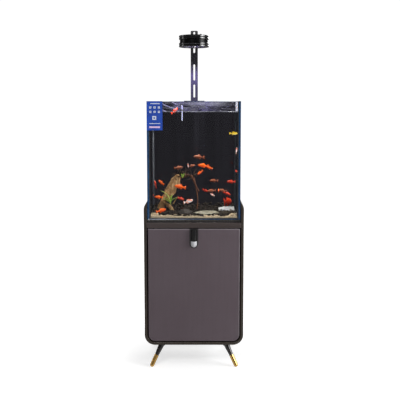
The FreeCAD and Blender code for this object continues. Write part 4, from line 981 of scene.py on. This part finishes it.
def scatter(name, places, radii, seed, material):
    """Small rounded lumps, each an icosphere with a few dozen faces, squashed and turned."""
    draw = random.Random(seed)
    bm = bmesh.new()
    part = bmesh.new()
    for number, (x, y, lift) in enumerate(places):
        if number % 25 == 24:
            absorb(bm, part)
            part = bmesh.new()
        radius = draw.uniform(*radii)
        heading = Matrix.Rotation(draw.uniform(0, 6.28), 4, "Z")
        turn = heading @ Matrix.Rotation(draw.uniform(-0.5, 0.5), 4, "X")
        shape = Matrix.Diagonal((draw.uniform(0.8, 1.5), draw.uniform(0.7, 1.1), draw.uniform(0.5, 0.9), 1))
        place = Matrix.Translation((x, y, sand_level(x, y) + lift))
        bmesh.ops.create_icosphere(part, subdivisions=2, radius=radius, matrix=place @ turn @ shape)
    absorb(bm, part)
    return piece(name, bm, "stand", [material])


def pebble_places(count, seed):
    """Mostly heaped in the right front corner, the rest strewn along the front."""
    draw = random.Random(seed)
    for i in range(count):
        if i % 3:
            yield draw.uniform(0.156, 0.182), draw.uniform(-0.128, -0.100), draw.choice((0.001, 0.003, 0.007))
        else:
            yield draw.uniform(-0.180, 0.182), draw.uniform(-0.130, -0.112), 0.001


def litter_places(count, seed):
    """Dark leaf litter and bark bits that cover the bed behind its bright front edge."""
    draw = random.Random(seed)
    for _ in range(count):
        x = draw.uniform(-0.178, 0.178)
        front = -0.119 + 0.007 * math.sin(x * 40) + (0.040 if x < -0.150 else 0.0)
        y = draw.uniform(front, 0.132)
        yield x, y, 0.002 + 0.010 * max(0.0, (y + 0.11) / 0.24) * draw.random()


LITTER = sand_finish("dark_litter", (0.004, 0.003, 0.002), (0.020, 0.013, 0.008), 260.0).material
scatter("pebbles", pebble_places(90, 5), (0.0022, 0.0055), 6, PEBBLE)
scatter("bark_litter", litter_places(620, 15), (0.003, 0.009), 16, LITTER)

# %% [markdown]
# ## Driftwood
# The wood is a leaning root: a thick limb that rises from the left corner, two red roots that arch from
# its crown down to the right, and a tangle of fine dark ones. All three are wet bark, so the finish is
# stretched noise between a deep and a pale brown, with patches of moss.

# %% Bark finish
def bark_finish(name, deep, middle, pale):
    made = Finish(name, middle, 0.7, Specular_IOR_Level=0.3)
    skin = made.grain(30.0, 8.0, 0.68, made.stretched((1.6, 1.6, 0.5), (0.0, 0.5, 0.0)), 1.4)
    patch = made.grain(9.0, 4.0)
    wood = made.tint(skin, (0.28, deep), (0.5, middle), (0.72, pale))
    moss = made.tint(skin, (0.3, (0.02, 0.022, 0.006)), (0.7, (0.13, 0.14, 0.03)))
    made.colour(made.mixed(made.between(patch, 0.0, 0.4, 0.55, 0.8), wood, moss))
    made.roughness(made.between(skin, 0.5, 0.85))
    made.relief(skin, 0.9, 0.003)
    return made.material


BARK = bark_finish("bogwood_bark", (0.035, 0.014, 0.005), (0.34, 0.18, 0.07), (0.74, 0.50, 0.24))
RED_BARK = bark_finish("red_root_bark", (0.03, 0.009, 0.004), (0.12, 0.04, 0.018), (0.26, 0.11, 0.05))
DARK_BARK = bark_finish("dark_root_bark", (0.006, 0.003, 0.002), (0.026, 0.012, 0.006), (0.09, 0.038, 0.018))
print("bark finishes", BARK.name, RED_BARK.name, DARK_BARK.name)

# %% [markdown]
# A limb is a chain of rings along its stations, which are (x, y, height over the glass floor, radius).
# Each ring is a small circle pushed in and out by smooth noise, and `bridge_loops` joins ring to ring.

# %% Driftwood
def catmull(a, b, c, d, t):
    """A smooth curve from b to c that leaves a and d behind it."""
    square, cube = 2 * a - 5 * b + 4 * c - d, 3 * b - a - 3 * c + d
    return 0.5 * (2 * b + (c - a) * t + square * t * t + cube * t ** 3)


def ring(bm, centre, along, radius, knobs, flat, count):
    """One loop of a limb's skin, knobbly like old wood and flattened from front to back."""
    place = turned_to(centre, along)
    made = bmesh.ops.create_circle(bm, cap_ends=False, segments=count, radius=radius, matrix=place)
    for v in made["verts"]:
        away = v.co - centre
        away.y *= flat
        v.co = centre + away * (1.0 + knobs * (noise.noise(v.co * 34) + 0.6 * noise.noise(v.co * 90)))
    return made["verts"]


def rim(loop):
    """The edges that run round one ring."""
    return list({e for v in loop for e in v.link_edges if e.other_vert(v) in loop})


def limb(bm, stations, step=0.004, knobs=0.4, flat=0.8, count=14):
    """A limb through its stations, closed at both ends."""
    points = [Vector((x, y, FLOOR + z)) for x, y, z, _ in stations]
    radii = [s[3] for s in stations]
    loops = []
    for i in range(len(points) - 1):
        ends = points[max(0, i - 1)], points[i], points[i + 1], points[min(len(points) - 1, i + 2)]
        pieces = max(2, int((points[i + 1] - points[i]).length / step))
        for k in range(pieces + (1 if i == len(points) - 2 else 0)):
            t = k / pieces
            ahead, behind = catmull(*ends, min(1.0, t + 0.05)), catmull(*ends, max(0.0, t - 0.05))
            radius = radii[i] * (1 - t) + radii[i + 1] * t
            loops.append(ring(bm, catmull(*ends, t), ahead - behind, radius, knobs, flat, count))
    for first, second in zip(loops, loops[1:]):
        bmesh.ops.bridge_loops(bm, edges=rim(first) + rim(second))
    for end in (loops[0], loops[-1]):
        bmesh.ops.contextual_create(bm, geom=end)


CROWN = (-0.070, -0.004, 0.178, 0.010)
SLAB = [
    (-0.160, -0.014, 0.006, 0.012), (-0.145, -0.014, 0.044, 0.013), (-0.122, -0.010, 0.084, 0.018),
    (-0.102, -0.004, 0.118, 0.022), (-0.084, 0.000, 0.150, 0.020), CROWN,
]
ARMS = [
    [(-0.084, 0.0, 0.158, 0.012), (-0.052, 0.004, 0.172, 0.009), (-0.020, 0.004, 0.176, 0.006),
     (-0.006, 0.004, 0.160, 0.0042), (0.006, 0.002, 0.134, 0.0036), (0.022, 0.0, 0.104, 0.003)],
    [(-0.022, 0.006, 0.176, 0.005), (-0.002, 0.010, 0.164, 0.004), (0.008, 0.008, 0.120, 0.003),
     (0.016, 0.006, 0.070, 0.0026), (0.012, 0.006, 0.010, 0.004)],
]
BUTTRESSES = [
    [(-0.128, -0.014, 0.050, 0.009), (-0.104, -0.022, 0.034, 0.008), (-0.088, -0.026, 0.006, 0.007)],
    [(-0.150, -0.018, 0.030, 0.006), (-0.128, -0.026, 0.016, 0.005), (-0.112, -0.028, 0.004, 0.004)],
]
TWIGS = [
    [(-0.160, -0.026, 0.075, 0.0012), (-0.140, -0.026, 0.060, 0.0018), (-0.120, -0.024, 0.047, 0.002)],
    [(-0.094, -0.024, 0.050, 0.002), (-0.082, -0.026, 0.070, 0.0016), (-0.071, -0.026, 0.086, 0.001)],
]


def driftwood():
    bm = bmesh.new()
    limb(bm, SLAB, flat=0.55, count=22)
    for stations in BUTTRESSES:
        limb(bm, stations)
    for stations in TWIGS:
        limb(bm, stations, knobs=0.15, count=8)
    bmesh.ops.recalc_face_normals(bm, faces=bm.faces)
    return piece("driftwood_root", bm, "stand", [BARK], ["driftwood"])


def red_roots():
    bm = bmesh.new()
    for stations in ARMS:
        limb(bm, stations, knobs=0.3, count=10)
    bmesh.ops.recalc_face_normals(bm, faces=bm.faces)
    return piece("red_roots", bm, "stand", [RED_BARK])


# x, y and z ranges of a fine root's start, its reach to the tip, and the bow of its middle
ROOT_SPANS = [
    ((-0.085, 0.004), (-0.012, 0.012), (0.164, 0.186)),
    ((-0.030, 0.032), (-0.012, 0.012), (-0.012, 0.036)),
    ((-0.008, 0.008), (-0.005, 0.005), (-0.006, 0.008)),
]


def root_tangle(count, seed):
    """The fine dark roots that spread from the crown of the wood."""
    draw = random.Random(seed)
    bm = bmesh.new()
    for _ in range(count):
        start, reach, bow = (Vector(draw.uniform(*span) for span in spans) for spans in ROOT_SPANS)
        thick = draw.uniform(0.0012, 0.0030)
        elbow, tip = start + reach * 0.5 + bow, start + reach
        stations = [(*start, thick), (*elbow, thick * 0.75), (*tip, thick * 0.3)]
        part = bmesh.new()
        limb(part, stations, 0.006, 0.2, 1.0, 7)
        absorb(bm, part)
    bmesh.ops.recalc_face_normals(bm, faces=bm.faces)
    return piece("root_tangle", bm, "stand", [DARK_BARK])


driftwood()
red_roots()
root_tangle(40, 12)

# %% [markdown]
# ## Stones
# A stone starts as an icosphere, cut by a few random planes to make flat broken faces, then softened
# and roughened with noise. The flat stone is pale and pointed, the others are dark, and one is white on
# its top, which the finish puts where the height is greatest.

# %% Stones
def stone_finish(name, dark, light, pale_top=None, pale_top_from=0.0, pale_top_to=0.0):
    made = Finish(name, light, 0.75, Specular_IOR_Level=0.35)
    vein = made.grain(55.0, 7.0, 0.65, made.stretched((1, 1, 2.2)), 0.8)
    base = made.tint(vein, (0.3, dark), (0.62, light), (0.8, dark))
    if pale_top:
        # the stone turns white above a ragged height near its top
        ragged = made.sums("ADD", made.axis("Z"), made.between(made.grain(90.0, 4.0), -0.005, 0.005))
        base = made.mixed(made.between(ragged, 0.0, 1.0, pale_top_from, pale_top_to), base, pale_top)
    made.colour(base)
    made.roughness(made.between(vein, 0.5, 0.85))
    made.relief(vein, 0.7, 0.002)
    return made.material


def stone(name, node, material, seed, cuts, blocky=False):
    """A broken stone that fills its CAD node's box."""
    low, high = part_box(node)
    draw = random.Random(seed)
    bm = bmesh.new()
    if blocky:
        bmesh.ops.create_cube(bm, size=1.7)
        bmesh.ops.subdivide_edges(bm, edges=bm.edges[:], cuts=14, use_grid_fill=True)
    else:
        bmesh.ops.create_icosphere(bm, subdivisions=4, radius=1.0)
    for _ in range(cuts):
        normal = Vector((draw.uniform(-1, 1), draw.uniform(-1, 1), draw.uniform(-0.2, 1))).normalized()
        depth = draw.uniform(0.62, 0.86) * (1.35 if blocky else 1.0)
        cut = bmesh.ops.bisect_plane(
            bm, geom=bm.verts[:] + bm.edges[:] + bm.faces[:],
            plane_co=normal * depth, plane_no=normal, clear_outer=True,
        )
        cut_edges = [e for e in cut["geom_cut"] if isinstance(e, bmesh.types.BMEdge)]
        bmesh.ops.holes_fill(bm, edges=cut_edges, sides=0)
    bmesh.ops.triangulate(bm, faces=[f for f in bm.faces if len(f.verts) > 4])
    long_edges = [e for e in bm.edges if e.calc_length() > 0.25]
    bmesh.ops.subdivide_edges(bm, edges=long_edges, cuts=2, use_grid_fill=True)
    bmesh.ops.triangulate(bm, faces=[f for f in bm.faces if len(f.verts) > 4])
    bmesh.ops.smooth_vert(bm, verts=bm.verts, factor=0.3, use_axis_x=True, use_axis_y=True, use_axis_z=True)
    for v in bm.verts:
        v.co *= 1.0 + 0.07 * noise.noise(v.co * 3.0 + Vector((seed, 0, 0))) + 0.03 * noise.noise(v.co * 9.0)
    reach = [max(abs(v.co[i]) for v in bm.verts) for i in range(3)]
    scale = [(h - l) / 2 / r for l, h, r in zip(low, high, reach)]
    place = Matrix.Translation((low + high) / 2) @ Matrix.Diagonal((*scale, 1))
    bmesh.ops.transform(bm, matrix=place, verts=bm.verts)
    bmesh.ops.recalc_face_normals(bm, faces=bm.faces)
    return piece(name, bm, "stand", [material], [node], smooth=False)


CAP_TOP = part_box("capped_stone")[1].z
PALE_STONE = stone_finish("pale_slate", (0.22, 0.19, 0.13), (0.50, 0.46, 0.34))
DARK_STONE = stone_finish("dark_slate", (0.012, 0.010, 0.009), (0.055, 0.045, 0.036))
PALE_TOP_STONE = stone_finish(
    "pale_topped_stone", (0.012, 0.009, 0.006), (0.09, 0.065, 0.040),
    (0.50, 0.50, 0.50), CAP_TOP - 0.012, CAP_TOP - 0.008,
)
stone("pale_flat_stone", "flat_stone", PALE_STONE, 11, 9)
stone("dark_broken_stone", "dark_stone", DARK_STONE, 4, 8)
stone("white_capped_stone", "capped_stone", PALE_TOP_STONE, 21, 9, blocky=True)

# %% [markdown]
# ## Leaves
# Two clumps of broad and narrow leaves grow on the wood. A leaf is a strip of quads along an arc that
# narrows to a tip and is folded a little along its midrib, then given thickness. The finish reads the
# leaf's own UV map, so the pale margins follow each leaf however it bends.

# %% Leaves
def leaf_finish():
    made = Finish("leaf_green", (0.16, 0.4, 0.05), 0.45, Specular_IOR_Level=0.25)
    made.space = made.node("ShaderNodeUVMap", uv_map="leaf").outputs["UV"]
    across = made.off("X", 0.5)
    cloud = made.grain(6.0, 4.0)
    blade = made.tint(cloud, (0.3, (0.12, 0.30, 0.02)), (0.7, (0.40, 0.62, 0.06)))
    made.colour(made.mixed(made.between(across, 0.0, 0.9, 0.36, 0.5), blade, (0.74, 0.86, 0.22)))
    made.roughness(made.between(cloud, 0.28, 0.5))
    made.relief(made.bands(14.0, 1.0, axis="Y"), 0.2, 0.0005)
    return made.material


LEAF = leaf_finish()


def leaf(bm, root, lean, heading, length, width, droop):
    """A curved, pointed leaf with a folded midrib."""
    uv = bm.loops.layers.uv.get("leaf") or bm.loops.layers.uv.new("leaf")
    start = bmesh.ops.create_grid(bm, x_segments=2, y_segments=12, size=0.5)["verts"]
    along = {v: v.co.y + 0.5 for v in start}
    across = {v: v.co.x for v in start}
    for v in start:
        for loop in v.link_loops:
            loop[uv].uv = (across[v] + 0.5, along[v])
    outward = Vector((math.cos(heading), math.sin(heading), 0))
    sideways = Vector((-math.sin(heading), math.cos(heading), 0))
    for v in start:
        t = along[v]
        half = width * math.sin(math.pi * min(1.0, 0.12 + 0.88 * t)) ** 0.8 * (1.0 if t < 0.97 else 0.15)
        angle = lean + droop * t
        spot = outward * (length * t * math.sin(angle)) + Vector((0, 0, length * t * math.cos(angle)))
        fold = abs(across[v]) * half * 0.5
        v.co = Vector(root) + spot + sideways * (across[v] * half) + Vector((0, 0, fold))


def clump(bm, root, count, length, width, seed):
    draw = random.Random(seed)
    for i in range(count):
        heading = 2 * math.pi * i / count + draw.uniform(-0.3, 0.3)
        leaf(
            bm, root, draw.uniform(0.1, 0.45), heading, length * draw.uniform(0.7, 1.05),
            width * draw.uniform(0.8, 1.2), draw.uniform(0.2, 0.8),
        )


def leaves():
    bm = bmesh.new()
    clump(bm, (-0.106, -0.022, FLOOR + 0.052), 5, 0.052, 0.0075, 3)
    leaf(bm, (-0.104, -0.027, FLOOR + 0.050), 0.05, math.pi, 0.078, 0.012, 0.62)
    leaf(bm, (-0.102, -0.029, FLOOR + 0.046), 0.5, math.pi + 0.2, 0.050, 0.010, 0.45)
    clump(bm, (-0.052, -0.008, FLOOR + 0.166), 7, 0.026, 0.008, 8)
    bmesh.ops.solidify(bm, geom=bm.faces[:], thickness=0.0005)
    return piece("leaf_clumps", bm, "stand", [LEAF], ["leaf_tufts"])


leaves()

# %% [markdown]
# ## Fish
# The fish are small livebearers and one larger fancy fish. Their skin reads the fish's own UV map: dark on
# the back, pale on the belly, with a net of fine scales, and on some a second colour in blots.

# %% Fish finishes
def scale_finish(name, back, flank, belly, patch=None):
    """Fish skin: a back, flank and belly colour, a net of fine scales, and blots of a patch colour."""
    made = Finish(name, flank, 0.3, Coat_Weight=0.15, Coat_Roughness=0.15, Specular_IOR_Level=0.3)
    made.space = made.node("ShaderNodeUVMap", uv_map="skin").outputs["UV"]
    height = made.axis("Y")
    skin = made.tint(height, (0.2, belly), (0.5, flank), (0.85, back))
    if patch:
        blots = made.grain(3.4, 2.0)
        skin = made.mixed(made.between(blots, 0.0, 1.0, 0.47, 0.53), skin, patch)
    made.colour(skin)
    scales = made.cells(26.0, "DISTANCE_TO_EDGE")
    made.roughness(made.between(scales, 0.5, 0.22, 0.0, 0.3))
    made.relief(scales, 0.25, 0.0004)
    return made.material


ORANGE = scale_finish("fish_orange", (1.0, 0.17, 0.004), (1.0, 0.11, 0.002), (0.62, 0.05, 0.002))
RED = scale_finish("fish_red", (0.75, 0.05, 0.008), (0.50, 0.025, 0.006), (0.24, 0.012, 0.004))
GOLD = scale_finish("fish_gold", (0.85, 0.48, 0.01), (1.0, 0.66, 0.02), (1.0, 0.80, 0.25))
PIED = scale_finish(
    "fish_pied", (0.82, 0.10, 0.02), (0.95, 0.20, 0.04), (0.95, 0.72, 0.62), (0.92, 0.88, 0.84),
)
DUSKY = scale_finish("fish_dusky", (0.42, 0.12, 0.05), (0.20, 0.05, 0.022), (0.09, 0.03, 0.018))
EYE = painted("fish_eye", (0.004, 0.004, 0.004), (0.02, 0.016, 0.01), 0.05, 0.1, 1.0)
print("fish finishes", [m.name for m in (ORANGE, RED, GOLD, PIED, DUSKY, EYE)])

# %% [markdown]
# A body is a spun profile, flattened from side to side, with its tail end drawn thin. The tail, back and
# belly fins are thin sheets in the fish's middle plane, and the eyes are small dark beads. All of it is
# made one unit long, then scaled, turned and carried to its place.

# %% Fish shapes
BODY_PROFILE = [
    (0.50, 0.004), (0.47, 0.055), (0.40, 0.105), (0.28, 0.150), (0.12, 0.165), (-0.04, 0.140),
    (-0.18, 0.095), (-0.27, 0.055), (-0.30, 0.040),
]
TAIL_ROOT = 0.035
TAIL = [
    (-0.28, TAIL_ROOT), (-0.40, 0.13), (-0.50, 0.15), (-0.46, 0.0), (-0.50, -0.15), (-0.40, -0.13),
    (-0.28, -TAIL_ROOT),
]
BACK_FIN = [(0.16, 0.15), (0.06, 0.23), (-0.10, 0.20), (-0.14, 0.10)]
BELLY_FIN = [(0.02, -0.14), (-0.06, -0.21), (-0.15, -0.18), (-0.16, -0.10)]


def fin(bm, uv, corners, thickness=0.006):
    """A thin sheet fin in the fish's own middle plane, from a fan of points."""
    verts = [bm.verts.new((x, thickness * 0.5, z)) for x, z in corners]
    face = bm.faces.new(verts)
    for loop in face.loops:
        loop[uv].uv = (loop.vert.co.x, 0.6)
    made = bmesh.ops.extrude_face_region(bm, geom=[face])
    for v in [g for g in made["geom"] if isinstance(g, bmesh.types.BMVert)]:
        v.co.y -= thickness


def fish(name, material, place, length, heading_deg, tilt_deg=0.0, deep=1.0, tail=1.0):
    """One fish. Its nose points along +X before it is turned to its heading."""
    bm = bmesh.new()
    uv = bm.loops.layers.uv.new("skin")
    spun(bm, [(x, 0, r) for x, r in BODY_PROFILE], (1, 0, 0), 14)
    for v in bm.verts:
        v.co.y *= 0.52
        v.co.z *= deep
    close_holes(bm)
    for face in bm.faces:
        for loop in face.loops:
            loop[uv].uv = (loop.vert.co.x + 0.5, 0.5 + loop.vert.co.z * 2.6)
    fin(bm, uv, [(x, z if abs(z) <= TAIL_ROOT else z * tail) for x, z in TAIL])
    for corners in (BACK_FIN, BELLY_FIN):
        fin(bm, uv, [(x, z * deep) for x, z in corners])
    skin_faces = len(bm.faces)
    for side in (-1, 1):
        spot = Matrix.Translation((0.40, side * 0.045, 0.03))
        bmesh.ops.create_icosphere(bm, subdivisions=2, radius=0.02, matrix=spot)
    bm.faces.ensure_lookup_table()
    for face in bm.faces[skin_faces:]:
        face.material_index = 1
    bmesh.ops.recalc_face_normals(bm, faces=bm.faces)
    heading = Matrix.Rotation(math.radians(heading_deg), 4, "Z")
    turn = heading @ Matrix.Rotation(math.radians(-tilt_deg), 4, "Y")
    bmesh.ops.transform(bm, matrix=Matrix.Translation(place) @ turn @ Matrix.Scale(length, 4), verts=bm.verts)
    return piece(name, bm, "stand", [material, EYE])


print("fish profile points", len(BODY_PROFILE))

# %% [markdown]
# The shoal: each row is a finish, the place as (x, y, height over the glass floor), the length, the
# heading seen from above (0 swims to the right, 180 to the left) and the tilt of the nose.

# %% The shoal
SHOAL = [
    (RED, (-0.089, 0.060, 0.463), 0.044, 35, 34),
    (GOLD, (0.171, -0.080, 0.367), 0.036, 5, 0),
    (PIED, (0.184, -0.100, 0.293), 0.034, 75, 56),
    (RED, (0.184, -0.090, 0.203), 0.030, 70, -10),
    (DUSKY, (0.022, -0.020, 0.260), 0.050, 175, 4),
    (ORANGE, (0.041, -0.060, 0.225), 0.048, 188, 8),
    (ORANGE, (0.067, -0.050, 0.215), 0.030, 170, 14),
    (DUSKY, (-0.069, -0.050, 0.215), 0.040, 12, 4),
    (PIED, (-0.026, -0.070, 0.225), 0.026, 100, 56),
    (DUSKY, (-0.011, -0.040, 0.222), 0.034, 15, 8),
    (ORANGE, (0.027, -0.066, 0.196), 0.030, 200, -35),
    (ORANGE, (-0.059, -0.100, 0.136), 0.050, 175, 10),
    (ORANGE, (-0.143, -0.080, 0.153), 0.034, 150, 34),
    (RED, (-0.170, -0.060, 0.142), 0.040, 120, 60),
    (ORANGE, (-0.153, -0.100, 0.091), 0.036, 178, 4),
    (RED, (-0.180, -0.050, 0.092), 0.020, 90, 0),
    (PIED, (-0.025, -0.116, 0.074), 0.044, 8, 16),
    (RED, (-0.058, -0.060, 0.079), 0.034, 30, -20),
    (ORANGE, (-0.143, -0.118, 0.034), 0.046, 12, 14),
    (DUSKY, (0.090, 0.060, 0.146), 0.040, 178, 0),
    (RED, (0.166, -0.010, 0.149), 0.038, 184, 0),
    (DUSKY, (0.078, -0.030, 0.110), 0.040, 190, -6),
    (ORANGE, (0.108, -0.060, 0.115), 0.034, 90, 20),
    (DUSKY, (0.127, -0.020, 0.110), 0.038, 172, 4),
    (RED, (0.146, -0.050, 0.101), 0.034, 350, -22),
    (RED, (0.051, -0.020, 0.110), 0.030, 20, -25),
    (PIED, (0.082, -0.020, 0.091), 0.024, 200, 30),
]
for number, (material, (x, y, rise), length, heading, tilt) in enumerate(SHOAL, 1):
    fish(f"fish_{number:02d}", material, (x, y, FLOOR + rise), length, heading, tilt)
fish("fancy_fish", RED, (0.150, -0.010, FLOOR + 0.058), 0.066, 300, 12, deep=1.5, tail=2.2)

# %% [markdown]
# ## Bubbles
# A few air bubbles rise near the middle of the tank. They are tiny beads of the same clear shader as the
# water, but with a stronger mirror, so they show as points of light.

# %% Bubbles
COLUMNS = (0.046, 0.040)     # x of the two rising columns
FIRST_TWO = (0.392, 0.428)   # heights of the two bubbles that always show
BUBBLE = see_through("air_bubble", (0.9, 0.92, 1.0), 0.10, 0.05)


def bubbles(count, seed):
    draw = random.Random(seed)
    bm = bmesh.new()
    for i in range(count):
        x = COLUMNS[i % 2] + draw.uniform(-0.006, 0.006)
        z = draw.uniform(0.30, 0.455) if i > 1 else FIRST_TWO[i]
        radius = draw.uniform(0.0009, 0.0022)
        spot = Matrix.Translation((x, -0.10 + draw.uniform(-0.02, 0.02), FLOOR + z))
        bmesh.ops.create_icosphere(bm, subdivisions=2, radius=radius, matrix=spot)
    return piece("bubbles", bm, "stand", [BUBBLE])


bubbles(12, 9)
